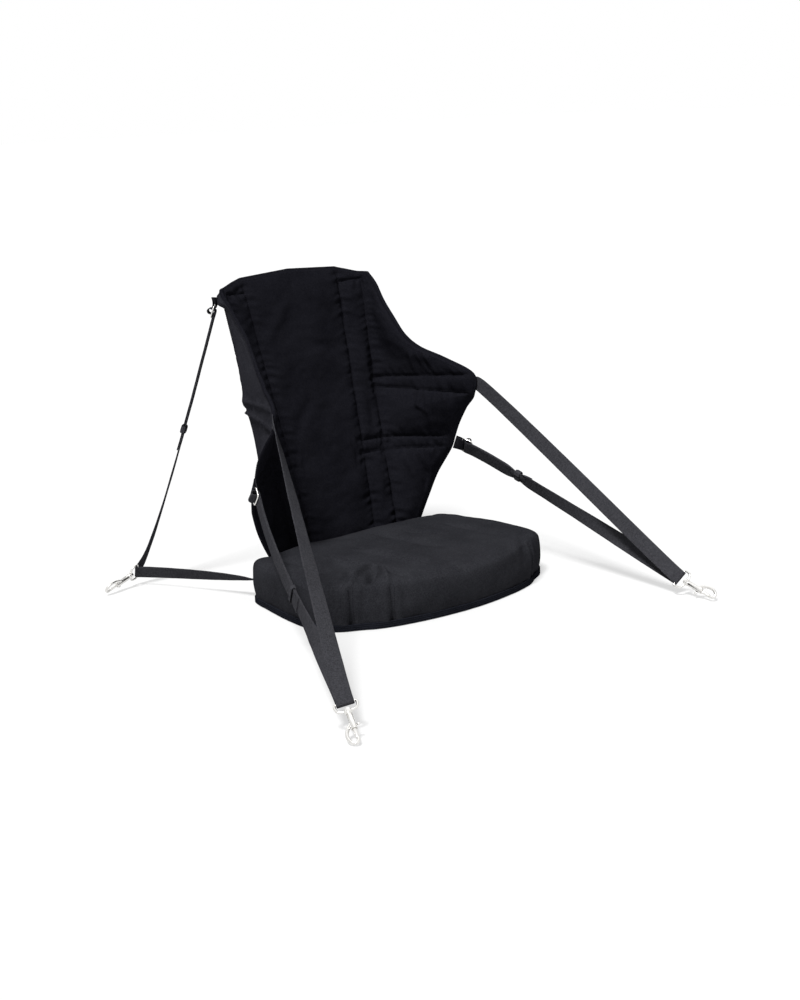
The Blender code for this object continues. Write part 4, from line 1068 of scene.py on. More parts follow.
# The seat cushion
def seat_outline(offset):
    """Plan of the cushion, clockwise from above, moved outward by offset."""
    half = [(SEAT_HALF_WIDTH * x, lerp(SEAT_BACK_Y, SEAT_FRONT_Y, y)) for x, y in SEAT_PLAN]
    points = [Vector(p) for p in half] + [Vector((-x, y)) for x, y in reversed(half[:-1])]
    points.append(Vector((0.0, SEAT_BACK_Y)))
    moved = []
    count = len(points)
    for i, point in enumerate(points):
        before = (point - points[i - 1]).normalized()
        after = (points[(i + 1) % count] - point).normalized()
        along = (before + after).normalized()
        out = Vector((-along.y, along.x))
        stretch = 1.0 / max(out.dot(Vector((-before.y, before.x))), 0.6)
        moved.append(point + out * (offset * stretch))
    return moved


SEAT_PROFILE = [(BASE_THICK + GAP, -0.001), (0.014, 0.0008), (0.034, 0.0034),
                (SEAT_TOP_Z - 0.0125, 0.0018), (SEAT_TOP_Z - 0.0038, -0.0030),
                (SEAT_TOP_Z, -0.0115)]
# Dart seams down the cushion's side: place on the outline
SEAT_DARTS = [Vector((-0.2035, -0.1105)), Vector((-0.1450, -0.1410)), Vector((0.1735, -0.1300)),
              Vector((0.209, 0.130)), Vector((-0.209, 0.130))]
# Folds of the cushion's top: (path in plan, width, height)
SEAT_FOLDS = [
    ([(-0.199, -0.106), (-0.170, -0.088), (-0.140, -0.074), (-0.118, -0.068)], 0.0056, 0.0110),
    ([(-0.143, -0.134), (-0.132, -0.112), (-0.121, -0.087), (-0.125, -0.068)], 0.0052, 0.0105),
    ([(-0.172, -0.118), (-0.150, -0.104), (-0.136, -0.092)], 0.0070, -0.0125),
    ([(-0.199, -0.085), (-0.172, -0.070), (-0.150, -0.050)], 0.0080, -0.0080),
    ([(-0.1305, 0.0308), (-0.1270, -0.010), (-0.1234, -0.0443)], 0.0055, -0.0085),
    ([(-0.1400, 0.0308), (-0.1370, -0.010), (-0.1330, -0.0443)], 0.0065, 0.0055),
    ([(-0.0618, 0.0368), (-0.0574, -0.0235), (-0.0429, -0.1167)], 0.0055, -0.0090),
    ([(-0.0710, 0.0368), (-0.0670, -0.0235), (-0.0530, -0.1167)], 0.0070, 0.0058),
    ([(0.0627, 0.0609), (0.080, 0.028), (0.096, -0.0084)], 0.0060, -0.0075),
    ([(-0.116, -0.061), (-0.112, -0.100), (-0.1103, -0.1434)], 0.0060, -0.0085),
    ([(0.020, 0.090), (0.028, 0.020), (0.030, -0.070)], 0.0100, -0.0060),
    ([(0.150, 0.060), (0.158, 0.000), (0.150, -0.070)], 0.0100, -0.0060),
    ([(-0.190, 0.080), (-0.185, 0.020), (-0.192, -0.040)], 0.0090, -0.0055),
]


def puff_up(piece, pinned, pressure, spare, cap):
    """Let a pad's cover swell and wrinkle between its held places."""
    start = np.array([v.co for v in piece.data.vertices])
    held = piece.vertex_groups.new(name="held")
    held.add([int(i) for i in pinned], 1.0, "REPLACE")
    cloth = piece.modifiers.new("cloth", "CLOTH")
    rules = cloth.settings
    rules.quality = 6
    rules.mass = 0.15
    rules.tension_stiffness = 12.0
    rules.compression_stiffness = 12.0
    rules.shear_stiffness = 4.0
    rules.bending_stiffness = 2.0
    rules.vertex_group_mass = "held"
    rules.shrink_min = -spare
    rules.use_pressure = True
    rules.uniform_pressure_force = pressure
    rules.effector_weights.gravity = 0.0
    cloth.point_cache.frame_start = 1
    cloth.point_cache.frame_end = CLOTH_FRAMES
    scene = bpy.context.scene
    for number in range(1, CLOTH_FRAMES + 1):
        scene.frame_set(number)
    graph = bpy.context.evaluated_depsgraph_get()
    shape = piece.evaluated_get(graph).data
    moved = np.array([v.co for v in shape.vertices]) - start
    piece.modifiers.remove(cloth)
    piece.vertex_groups.clear()
    scene.frame_set(1)
    edges = np.array([e.vertices[:] for e in piece.data.edges])
    for _ in range(SMOOTH_PASSES):
        around = np.zeros_like(moved)
        number = np.zeros(len(moved))
        for a, b in ((0, 1), (1, 0)):
            np.add.at(around, edges[:, a], moved[edges[:, b]])
            np.add.at(number, edges[:, a], 1.0)
        moved = moved * 0.5 + around / number[:, None] * 0.5
    moved[pinned] = 0.0
    size = np.linalg.norm(moved, axis=1)
    moved *= (np.minimum(size, cap) / np.maximum(size, 1e-9))[:, None]
    piece.data.vertices.foreach_set("co", (start + moved).astype(np.float32).ravel())
    piece.data.update()


def build_seat():
    per_side = 84
    count = 4 * per_side
    side_rings = 20
    profile = np.array(SEAT_PROFILE)
    share = np.linspace(0.0, len(profile) - 1.0, side_rings)
    heights = smooth_table(profile[:, 0], share)
    offsets = smooth_table(profile[:, 1], share)
    # The outline starts at the plan's rear right corner, so that the top's grid fits it
    plan = smooth_path([(p.x, p.y, 0.0) for p in seat_outline(0.0)], 0.001, closed=True)
    angles = np.unwrap(np.array([math.atan2(p.y / 0.155, p.x / 0.235) for p in plan]))
    flat = np.array([(p.x, p.y) for p in plan])
    if angles[-1] < angles[0]:
        angles, flat = angles[::-1], flat[::-1]
    angles = np.concatenate([angles - 2 * math.pi, angles, angles + 2 * math.pi])
    flat = np.concatenate([flat] * 3)

    def outline_at(angle):
        return np.stack([np.interp(angle, angles, flat[:, k]) for k in (0, 1)], -1)

    lines = np.linspace(-1.0, 1.0, per_side + 1)
    v, u = np.meshgrid(lines, lines, indexing="ij")
    disc_x = u * np.sqrt(1.0 - v * v / 2.0)
    disc_y = v * np.sqrt(1.0 - u * u / 2.0)
    reach = np.hypot(disc_x, disc_y)
    rim_place = outline_at(np.arctan2(disc_y, disc_x))
    radius = np.linalg.norm(rim_place, axis=-1)
    inset = offsets[-1]
    top_xy = rim_place * (reach * (radius + inset) / radius)[..., None]
    top_z = SEAT_TOP_Z + SEAT_CROWN * 1.1 * (1.0 - reach ** 2)
    wide = per_side + 1
    rim = grid_rim(wide, wide)
    outer = np.array([rim_place[k] for k in rim])
    ahead = np.roll(outer, -1, 0) - np.roll(outer, 1, 0)
    ahead /= np.linalg.norm(ahead, axis=1)[:, None]
    out = np.stack([ahead[:, 1], -ahead[:, 0]], 1)
    lengths = np.linalg.norm(np.roll(outer, -1, 0) - outer, axis=1)
    arc = np.concatenate([[0.0], np.cumsum(lengths)])
    points = [np.concatenate([top_xy, top_z[..., None]], -1).reshape(-1, 3)]
    for z, offset in zip(heights[-2::-1], offsets[-2::-1]):
        t = (z - heights[0]) / (heights[-1] - heights[0])
        ring = outer + out * offset
        straight = outer * ((radius_of(outer) + offset) / radius_of(outer))[:, None]
        ring = lerp(ring, straight, ease((t - 0.75) / 0.25))
        points.append(np.concatenate([ring, np.full((count, 1), z)], 1))
    verts = np.concatenate(points)
    top_count = wide * wide
    faces = grid_faces(wide, wide)
    uv = [verts[k][:2] for face in faces for k in face]
    rings = [[j * wide + i for j, i in rim]]
    rings += [[top_count + k * count + i for i in range(count)] for k in range(side_rings - 1)]
    for near, far in zip(rings, rings[1:]):
        for i, face in enumerate(ring_faces(near, far)):
            faces.append(face)
            uv += [(arc[i + 1 if k in (0, 3) else i], verts[f][2]) for k, f in enumerate(face)]
    # The underside is a grid of its own, joined to the last ring
    foot = len(verts)
    verts = np.concatenate([verts, under_side(u, v, wide, verts[rings[-1]], rim)])
    inside = {place: foot + k for k, place in enumerate(
        (j, i) for j in range(1, wide - 1) for i in range(1, wide - 1))}
    inside.update({place: rings[-1][k] for k, place in enumerate(rim)})
    for j in range(wide - 1):
        for i in range(wide - 1):
            face = tuple(inside[k] for k in ((j, i), (j + 1, i), (j + 1, i + 1), (j, i + 1)))
            faces.append(face)
            uv += [verts[k][:2] for k in face]
    pad = make_piece("seat_pad", verts, faces, [SEAT_CLOTH], uv, smooth=180.0)
    darts = [dart_column(outer, dart) for dart in SEAT_DARTS]
    pinned = set(rings[-1]) | set(rings[-2]) | set(range(foot, len(verts)))
    for column in darts:
        pinned |= {ring[column] for ring in rings[3:]}
    puff_up(pad, sorted(pinned), pressure=0.6, spare=0.012, cap=0.0035)
    subdivide(pad)
    shape_seat(pad, outer, out, darts)
    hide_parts("seat_cover", "seat_foam")
    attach(pad, "seat")
    return pad, [Vector((*outer[k], 0.0)) for k in darts], [Vector((*out[k], 0.0)) for k in darts]


def under_side(u, v, wide, ring, rim):
    """Places inside the flat foot of the pad, spread from its ring."""
    edge = {place: ring[k] for k, place in enumerate(rim)}
    left = np.array([edge[(j, 0)] for j in range(wide)])
    right = np.array([edge[(j, wide - 1)] for j in range(wide)])
    low = np.array([edge[(0, i)] for i in range(wide)])
    high = np.array([edge[(wide - 1, i)] for i in range(wide)])
    a = ((u + 1.0) / 2.0)[..., None]
    b = ((v + 1.0) / 2.0)[..., None]
    sides = left[:, None] * (1 - a) + right[:, None] * a + low[None] * (1 - b) + high[None] * b
    corners = (low[0] * (1 - a) * (1 - b) + low[-1] * a * (1 - b)
               + high[0] * (1 - a) * b + high[-1] * a * b)
    return (sides - corners)[1:-1, 1:-1].reshape(-1, 3)


def radius_of(places):
    return np.linalg.norm(places, axis=-1)


def dart_column(outer, dart):
    return int(np.argmin(radius_of(outer - np.array(dart))))


def shape_seat(pad, outer, out, darts):
    """Creases, darts and the corner's gathers, over the swollen pad."""
    co = np.array([v.co for v in pad.data.vertices])
    x, y, z = co.T
    on_top = ease((z - 0.048) / 0.018)
    lift = (SEAT_SWAY_HIGH * wander(x, y, z, SEAT_SWAY_SIZE)
            + SEAT_RUMPLE_HIGH * wander(x, y, z + 3.0, SEAT_RUMPLE_SIZE))
    for path, width, high in SEAT_FOLDS:
        lift = lift + fold(x, y, path, width, high)
    z = z + lift * on_top
    down = 1.0 - ease((z - 0.060) / 0.016)
    push_x = np.zeros_like(x)
    push_y = np.zeros_like(y)
    for k in darts:
        away = np.hypot(x - outer[k][0], y - outer[k][1])
        groove = (DART_LIP_HIGH * np.exp(-((away - DART_LIP_AT) / DART_LIP_WIDE) ** 2)
                  - DART_DEEP * np.exp(-(away / DART_WIDE) ** 2))
        push_x += out[k][0] * groove * (0.3 + 0.7 * down)
        push_y += out[k][1] * groove * (0.3 + 0.7 * down)
    from_gather = np.hypot(x - GATHER_MIDDLE[0], y - GATHER_MIDDLE[1])
    corner = np.exp(-(from_gather / GATHER_REACH) ** 2)
    ripple = GATHER_HIGH * corner * wander(x * 1.2, y * 1.2, z * 0.25, GATHER_SIZE)
    side_ripple = SIDE_RIPPLE_HIGH * wander(x, y, z * 1.8, SIDE_RIPPLE_SIZE) * (1.0 - on_top)
    middle = np.maximum(np.hypot(x, y), 1e-6)
    x = x + push_x + (ripple + side_ripple) * x / middle
    y = y + push_y + (ripple + side_ripple) * y / middle
    pad.data.vertices.foreach_set("co", np.stack([x, y, z], 1).astype(np.float32).ravel())
    pad.data.update()


def band_round(name, rings, finish):
    """A closed solid lofted through rings of equal length, joined last to first."""
    count = len(rings[0])
    verts = [p for ring in rings for p in ring]
    faces = []
    uv = []
    travelled = running_lengths(rings[0] + rings[0][:1])
    levels = running_lengths([ring[0] for ring in rings + rings[:1]])
    for j in range(len(rings)):
        m = (j + 1) % len(rings)
        for i in range(count):
            k = (i + 1) % count
            faces.append((j * count + i, m * count + i, m * count + k, j * count + k))
            uv += [(travelled[i], levels[j]), (travelled[i], levels[j + 1]),
                   (travelled[i + 1], levels[j + 1]), (travelled[i + 1], levels[j])]
    thing = make_piece(name, verts, faces, [finish], uv, smooth=50.0)
    face_out(thing)
    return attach(thing, "seat")


def build_hem():
    """The tape round the cushion's foot, with a groove under each line of stitches."""
    grooves = (0.0028, 0.0060, 0.0092)
    inside = 0.0010 + GAP
    plan = smooth_path([(p.x, p.y, 0.0) for p in seat_outline(inside)], 0.004, closed=True)
    count = len(plan)
    outs = []
    for i in range(count):
        along = (plan[(i + 1) % count] - plan[i - 1]).normalized()
        outs.append(Vector((-along.y, along.x, 0.0)))
    rings = []
    lines = []
    for z in np.linspace(HEM_BOTTOM_Z, HEM_TOP_Z, 19):
        dip = sum(0.0007 * math.exp(-((z - g) / 0.0006) ** 2) for g in grooves)
        end = min(z - HEM_BOTTOM_Z, HEM_TOP_Z - z)
        round_off = 0.0009 * math.exp(-(end / 0.0005) ** 2)
        ring = []
        for i, (p, out) in enumerate(zip(plan, outs)):
            wave = 0.0005 * noise.noise(Vector((p.x / 0.012, p.y / 0.012, z / 0.02)))
            ring.append(p + out * (HEM_THICK - dip - round_off + wave) + Vector((0, 0, z)))
        rings.append([tuple(v) for v in ring])
    for g in grooves:
        lines.append(([p + out * (HEM_THICK - 0.0005) + Vector((0, 0, g))
                       for p, out in zip(plan, outs)], True))
    for z in (HEM_TOP_Z, HEM_BOTTOM_Z):
        rings.append([(p.x, p.y, z) for p in plan])
    # The tape's cloth is painted shade, a darker copy of the seat cloth
    hem = band_round("hem", rings, SHADED_HEM_CLOTH)
    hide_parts("seat_hem")
    stitch_lines("hem_stitches", lines, pitch=0.0042, thick=0.0005)


def build_base():
    plan = smooth_path([(p.x, p.y, 0.0) for p in seat_outline(0.001)], 0.006, closed=True)
    middle = sum(plan, Vector()) / len(plan)
    levels = [(0.0, 0.0012), (0.0006, 0.0003), (0.0015, 0.0), (0.0026, 0.0002),
              (BASE_THICK, 0.0010)]
    verts = []
    for z, shy in levels:
        for p in plan:
            verts.append(middle + (p - middle) * (1.0 - shy / 0.2) + Vector((0, 0, z)))
    faces = bar_faces(len(levels), len(plan))
    uv = [(verts[k].x, verts[k].y) for face in faces for k in face]
    base = make_piece("base_cloth", verts, faces, [BASE_CLOTH], uv, smooth=50.0)
    face_out(base)
    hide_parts("seat_base")
    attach(base, "seat")


def build_flap():
    """The cloth hinge from the back's foot down to the cushion's base."""
    depth = (-SEAM_DEPTH_FRONT - PAD_THICK + SEAM_DEPTH_REAR) / 2.0
    top = back_point(0.0, QUILT_ROWS[0][0] - 2.0 * GAP - EDGE_TAPE, depth)
    foot_y = SEAT_BACK_Y + 0.0010 + 2.0 * GAP + HEM_THICK + FLAP_THICK / 2
    foot = Vector((BACK_FOOT.x, foot_y, 0.0045))
    knee = Vector((BACK_FOOT.x, foot_y + 0.001, 0.020))
    path = smooth_path([foot, knee, knee.lerp(top, 0.5) + Vector((0, 0.001, 0)), top], 0.003)
    verts = []
    cloth = []
    wide = 73
    high = len(path)
    for layer in (-1.0, 1.0):
        for j, p in enumerate(path):
            for i in range(wide):
                x = lerp(-FLAP_HALF_WIDTH, FLAP_HALF_WIDTH, i / (wide - 1))
                loose = math.sin(math.pi * j / (high - 1))
                wave = 0.0022 * loose * noise.noise(Vector((x / 0.02, p.z / 0.06, 1.0)))
                verts.append(Vector((p.x + x, p.y + wave + layer * FLAP_THICK / 2, p.z)))
                cloth.append((x, p.z))
    flap = solid_sheet("flap", verts, cloth, high, wide, BLACK_CLOTH)
    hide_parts("hinge_flap")
    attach(flap, "seat")


def sew_seat(pad, darts, outs):
    surface = surface_of(pad)
    lines = []
    for place, out in zip(darts, outs):
        for shift in (-0.0035, 0.0035):
            along = Vector((-out.y, out.x, 0.0))
            path = []
            for z in np.linspace(0.013, 0.066, 24):
                path.append(place + out * 0.002 + along * shift + Vector((0.0, 0.0, z)))
            lines.append((lay_on(surface, path, 0.0001), False))
    stitch_lines("seat_stitches", lines)


seat_pad, dart_places, dart_outs = build_seat()
build_hem()
build_base()
build_flap()
sew_seat(seat_pad, dart_places, dart_outs)


# Webbing
def bezier(p0, p1, p2, p3, t):
    u = 1.0 - t
    return p0 * u ** 3 + p1 * (3 * u * u * t) + p2 * (3 * u * t * t) + p3 * t ** 3


def run_points(start, start_way, end, end_way, slack_start, slack_end, steps):
    """A taut run between two fixed ends: it leaves start along start_way and arrives at
    end having left it along end_way."""
    span = (end - start).length
    p1 = start + start_way * (span * slack_start)
    p2 = end + end_way * (span * slack_end)
    return [bezier(start, p1, p2, end, i / steps) for i in range(steps + 1)]


def turn_between(a, b, t):
    """Unit direction turned from a to b."""
    angle = a.angle(b)
    if angle < 1e-4:
        return a.copy()
    return (a * math.sin((1 - t) * angle) + b * math.sin(t * angle)).normalized()


class Slider:
    """A three-bar slider on its tab, hung as in the part."""

    def __init__(self, root, root_way, root_across, way, bulge):
        self.root = root
        self.root_way = root_way.normalized()
        self.way = way.normalized()
        self.bulge = square_to(bulge, self.way)
        self.bar = self.bulge.cross(self.way).normalized()
        self.root_across = root_across.normalized()
        if self.root_across.dot(self.bar) < 0.0:
            self.root_across = -self.root_across
        mean_way = (self.root_way + self.way).normalized()
        self.middle = root + mean_way * (TAB_LENGTH - BAR_PITCH) + self.way * BAR_PITCH

    def at(self, a, c):
        return self.middle + self.way * a + self.bulge * c


def edge_root(side, row):
    """Where webbing is sewn to the wing's edge, between a row and the next one up."""
    reach = GAP + EDGE_TAPE + 1.5 * GAP
    places = []
    for r in (row, row + 1):
        before, here, after = (Vector((QUILT_ROWS[k][2], QUILT_ROWS[k][1]))
                               for k in (r - 1, r, r + 1))
        first = (here - before).normalized()
        second = (after - here).normalized()
        along = (first + second).normalized()
        out = Vector((along.y, -along.x))
        stretch = 1.0 / max(out.dot(Vector((first.y, -first.x))), 0.6)
        places.append(here + out * (reach * stretch))
    middle = -(SEAM_DEPTH_FRONT + PAD_THICK - SEAM_DEPTH_REAR) / 2.0
    low_end, high_end = (back_point(side * p.x, p.y, middle) for p in places)
    across = (high_end - low_end).normalized()
    root = low_end.lerp(high_end, 0.5)
    place = (places[0] + places[1]) / 2.0
    slope = places[1] - places[0]
    further = place + Vector((slope.y, -slope.x)).normalized() * 0.005
    way = back_point(side * further.x, further.y, middle) - back_point(side * place.x, place.y,
                                                                      middle)
    return root, square_to(way, across), across


def seat_root(side, z):
    """Where webbing is sewn to the cushion's rear corner."""
    ring = seat_outline(float(read_table(SEAT_PROFILE, z)))
    near, far = ring[1], ring[2]
    along = (far - near).normalized()
    out = Vector((-along.y, along.x))
    point = (near + far) / 2.0 + out * (1.5 * GAP)
    return (Vector((side * point.x, point.y, z)), Vector((side * out.x, out.y, 0.0)),
            Vector((side * along.x, along.y, 0.0)))


def threaded_points(slider):
    """Middle line of the webbing through the slider and out again as the tail."""
    deep = UNDER + LAYER
    slot_a = -(SLIDER_BAR / 2.0 + SLIDER_SLOT / 2.0) + 0.0002
    slot_b = -slot_a
    local = [(BAR_PITCH + 0.004, -deep), (BAR_PITCH * 0.45, -deep), (0.0, -deep + 0.0001),
             (slot_a * 0.70, -deep * 0.80), (slot_a, -deep * 0.30), (slot_a, 0.0022),
             (slot_a * 1.02, 0.0055), (slot_a * 0.60, 0.0082), (0.0, 0.0090),
             (slot_b * 0.62, 0.0080), (slot_b * 1.0, 0.0052), (slot_b, 0.0018),
             (slot_b * 1.04, -0.0008), (BAR_PITCH * 0.72, -UNDER * 0.93),
             (BAR_PITCH + 0.001, -UNDER), (BAR_PITCH + 0.005, -UNDER)]
    return [slider.at(a, c) for a, c in local]


def strap_band(name, stations, pinch_at=None, pinch=0.0, step=0.0025, finish=STRAP_CLOTH):
    """A webbing band with rounded edges through (point, width direction) stations. It is
    gathered where it comes near pinch_at."""
    path = [stations[0]]
    for here in stations[1:]:
        if (here[0] - path[-1][0]).length > 0.0006:
            path.append(here)
    lengths = running_lengths([p for p, _ in path])
    dense = smooth_path([p for p, _ in path], step)
    directions = np.array([tuple(d) for _, d in path])
    travelled = running_lengths(dense)
    scale = lengths[-1] / travelled[-1]
    half_t = WEB_THICK / 2.0
    flat = WEB_WIDTH / 2.0 - half_t
    profile = [(lerp(-flat, flat, k / 8.0), half_t) for k in range(9)]
    profile += [(flat + half_t * math.sin(a), half_t * math.cos(a)) for a in
                (math.pi * 0.25, math.pi * 0.5, math.pi * 0.75)]
    profile += [(lerp(flat, -flat, k / 8.0), -half_t) for k in range(9)]
    profile += [(-flat - half_t * math.sin(a), half_t * math.cos(a)) for a in
                (math.pi * 0.75, math.pi * 0.5, math.pi * 0.25)]
    verts = []
    cloth = []
    for i, point in enumerate(dense):
        at = travelled[i] * scale
        across = Vector([np.interp(at, lengths, directions[:, k]) for k in range(3)])
        ahead = dense[min(i + 1, len(dense) - 1)] - dense[max(i - 1, 0)]
        along = ahead.normalized()
        skew = max(square_length(across, along), 0.75)
        wide = across.normalized() / skew
        deep = along.cross(wide).normalized()
        near = 0.0
        if pinch_at is not None:
            near = pinch * math.exp(-((point - pinch_at).length / 0.017) ** 2)
        wobble = 0.0005 * noise.noise(point / 0.03)
        for x, z in profile:
            share = x / (WEB_WIDTH / 2.0)
            arch = near * 0.0075 * (1.0 - share * share)
            verts.append(point + wide * (x * (1.0 - near)) + deep * (z + arch + wobble * share))
            cloth.append((x, at))
    faces = bar_faces(len(dense), len(profile))
    uv = [cloth[k] for face in faces for k in face]
    band = make_piece(name, verts, faces, [finish], uv, smooth=60.0)
    face_out(band)
    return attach(band, "seat")


def rounded_box(half_long, half_wide, radius, step):
    """Corners of a rounded rectangle in (a, w)."""
    corners = []
    for a_sign, w_sign, start in ((1, 1, 0.0), (-1, 1, 0.5), (-1, -1, 1.0), (1, -1, 1.5)):
        for k in range(step + 1):
            angle = math.pi * (start + 0.5 * k / step)
            corners.append((a_sign * (half_long - radius) + radius * math.cos(angle),
                            w_sign * (half_wide - radius) + radius * math.sin(angle)))
    return corners


def build_slider(word, slider):
    """A bright loop with a middle bar, all of rounded flat wire."""
    half_a = BAR_PITCH
    half_w = WEB_WIDTH / 2.0 + 0.0005 + SLIDER_SIDE / 2.0
    loop = [slider.at(a, 0.0) + slider.bar * w
            for a, w in rounded_box(half_a, half_w, 0.0042, 7)]
    loop = smooth_path(loop, 0.0012, closed=True)
    verts, faces = tube(loop, SLIDER_BAR / 2.0, 14, True, slider.bulge, 0.86)
    bar = smooth_path([slider.at(0.0, 0.0) - slider.bar * half_w,
                       slider.at(0.0, 0.0) + slider.bar * half_w], 0.002)
    more, more_faces = tube(bar, SLIDER_BAR / 2.0, 14, False, slider.bulge, 0.84)
    faces += [tuple(len(verts) + k for k in f) for f in more_faces]
    made = make_piece("slider_bright_" + word, verts + more, faces, [NICKEL], smooth=60.0)
    face_out(made)
    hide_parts("slider_" + word)
    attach(made, "seat")


def build_tab(word, slider):
    """A short loop of webbing, sewn at both ends, round the slider's far bar."""
    far = -BAR_PITCH
    lay = WEB_THICK / 2.0 + 0.0003
    end = slider.at(far - SLIDER_BAR / 2.0 - 0.0010, 0.0)
    span = (end - slider.root).length
    steps = 8
    normal = slider.bulge
    upper = []
    lower = []
    for i in range(steps, -1, -1):
        t = i / steps
        along = slider.root_way.lerp(slider.way, t).normalized()
        point = bezier(slider.root, slider.root + slider.root_way * (span * 0.35),
                       end - slider.way * (span * 0.35), end, t)
        across = square_to(turn_between(slider.root_across, slider.bar, t), along)
        square = along.cross(across).normalized()
        normal = square if square.dot(normal) > 0.0 else -square
        open_by = lerp(lay, UNDER, float(ease(t)))
        upper.insert(0, (point + normal * open_by, across))
        lower.append((point - normal * open_by, across))
    corner_a = far + SLIDER_BAR / 2.0 + 0.0008
    corner_c = SLIDER_PLATE / 2.0 + 0.0008
    turn = [(far, UNDER), (corner_a, corner_c),
            (far + SLIDER_BAR / 2.0 + WEB_THICK / 2.0 + 0.0005, 0.0),
            (corner_a, -corner_c), (far, -UNDER)]
    stations = upper + [(slider.at(a, c), slider.bar) for a, c in turn] + lower
    tab = strap_band("tab_loop_" + word, stations, step=0.0014, finish=TAB_CLOTH)
    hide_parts("tab_" + word)


def build_keeper(word, point, way, across, normal, gather):
    """The band that gathers the strap and holds its tail."""
    half_w = (WEB_WIDTH / 2.0) * (1.0 - gather) + 0.0016
    half_n = 0.0036 + 0.0035 * gather
    around = 40
    rings = []
    levels = np.linspace(-0.5, 0.5, 9)
    for wall, order in ((0.0011, levels), (0.0, levels[::-1])):
        for level in order:
            full = wall * (1.0 - 0.55 * (2.0 * abs(level)) ** 6)
            ring = []
            for k in range(around):
                angle = 2.0 * math.pi * k / around
                c, s = math.cos(angle), math.sin(angle)
                size = (abs(c) ** 3.0 + abs(s) ** 3.0) ** (-1.0 / 3.0)
                crimp = 0.00035 * math.sin(angle * 9.0) * (1.0 if wall else 0.0)
                place = (point + way * (KEEPER_LENGTH * level * 1.1)
                         + across * (size * c * (half_w + full + crimp))
                         + normal * (size * s * (half_n + full + crimp) + 0.0030 * gather))
                ring.append(tuple(place))
            rings.append(ring)
    made = band_round("keeper_band_" + word, rings, STRAP_CLOTH)
    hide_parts("keeper_" + word)


def build_strap(word, sewn_end, slider, keeper_at, slack, twist_power, gather):
    """One length of webbing: sewn end, round the hook's eye bar, through the slider and
    back along itself as a tail under its keeper."""
    sewn, sewn_way, sewn_across = sewn_end
    eye, bar, lead = HOOKS[word]
    bar = square_to(bar, lead.normalized())
    hold = EYE_BAR_R + 0.0004 + WEB_THICK / 2.0
    under_end = slider.at(BAR_PITCH + 0.004, -(UNDER + LAYER))
    way_sewn = square_to(sewn - eye, bar)
    way_slider = square_to(under_end - eye, bar)
    leave = (way_sewn + way_slider).normalized()
    up = bar.cross(leave).normalized()
    if up.dot(way_sewn - way_slider) < 0.0:
        up = -up
    first = run_points(sewn + sewn_way * 0.003, sewn_way, eye + up * hold, leave,
                       slack[0], slack[1], 14)
    first.insert(0, sewn)
    second = run_points(eye - up * hold, leave, under_end, slider.way, slack[2], slack[3], 18)
    run_length = sum((q - p).length for p, q in zip(second, second[1:]))
    single = 1.0 - (keeper_at + TAIL_PAST_KEEPER + 0.030) / run_length
    stations = []
    for i, point in enumerate(first[:-1]):
        t = 1.0 - (1.0 - i / (len(first) - 1)) ** twist_power
        across = turn_between(sewn_across, bar, t)
        along = (first[i + 1] - first[max(i - 1, 0)]).normalized()
        square = square_to(across, along)
        flat = float(ease(i / 4.0) * ease((len(first) - 1 - i) / 4.0))
        stations.append((point, turn_between(across, square, flat)))
    for i in range(7):
        angle = math.pi * i / 6.0
        point = eye + up * (hold * math.cos(angle)) - leave * (hold * math.sin(angle))
        stations.append((point, bar))
    goal = slider.bar if slider.bar.dot(bar) > 0.0 else -slider.bar
    doubled = []
    for i, point in enumerate(second[1:], start=1):
        t = i / (len(second) - 1)
        along = (second[min(i + 1, len(second) - 1)] - second[i - 1]).normalized()
        across = turn_between(bar, goal, float(ease(t / single)))
        across = turn_between(across, square_to(across, along), float(ease(i / 5.0)))
        stations.append((point, across))
        doubled.append((point, across))
    stations += [(point, goal) for point in threaded_points(slider)[1:]]
    doubled.append((slider.at(BAR_PITCH, -(UNDER + LAYER)), goal))
    path = list(reversed(doubled))
    travelled = 0.0
    tail = []
    keeper = None
    for i in range(1, len(path)):
        here, across = path[i]
        travelled += (here - path[i - 1][0]).length
        along = (path[min(i + 1, len(path) - 1)][0] - path[i - 1][0]).normalized()
        wide = square_to(across, along)
        normal = along.cross(wide)
        if i == 1:
            sign = 1.0 if normal.dot(slider.bulge) > 0.0 else -1.0
        normal = normal * sign
        if travelled > 0.008:
            tail.append((here + normal * LAYER, across))
        if keeper is None and travelled >= keeper_at:
            keeper = (here + normal * (LAYER / 2.0), along, wide, normal)
        elif keeper is not None:
            break
    band = strap_band("strap_" + word, stations + tail, keeper[0], gather)
    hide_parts("webbing_" + word)
    build_keeper(word, *keeper, gather)


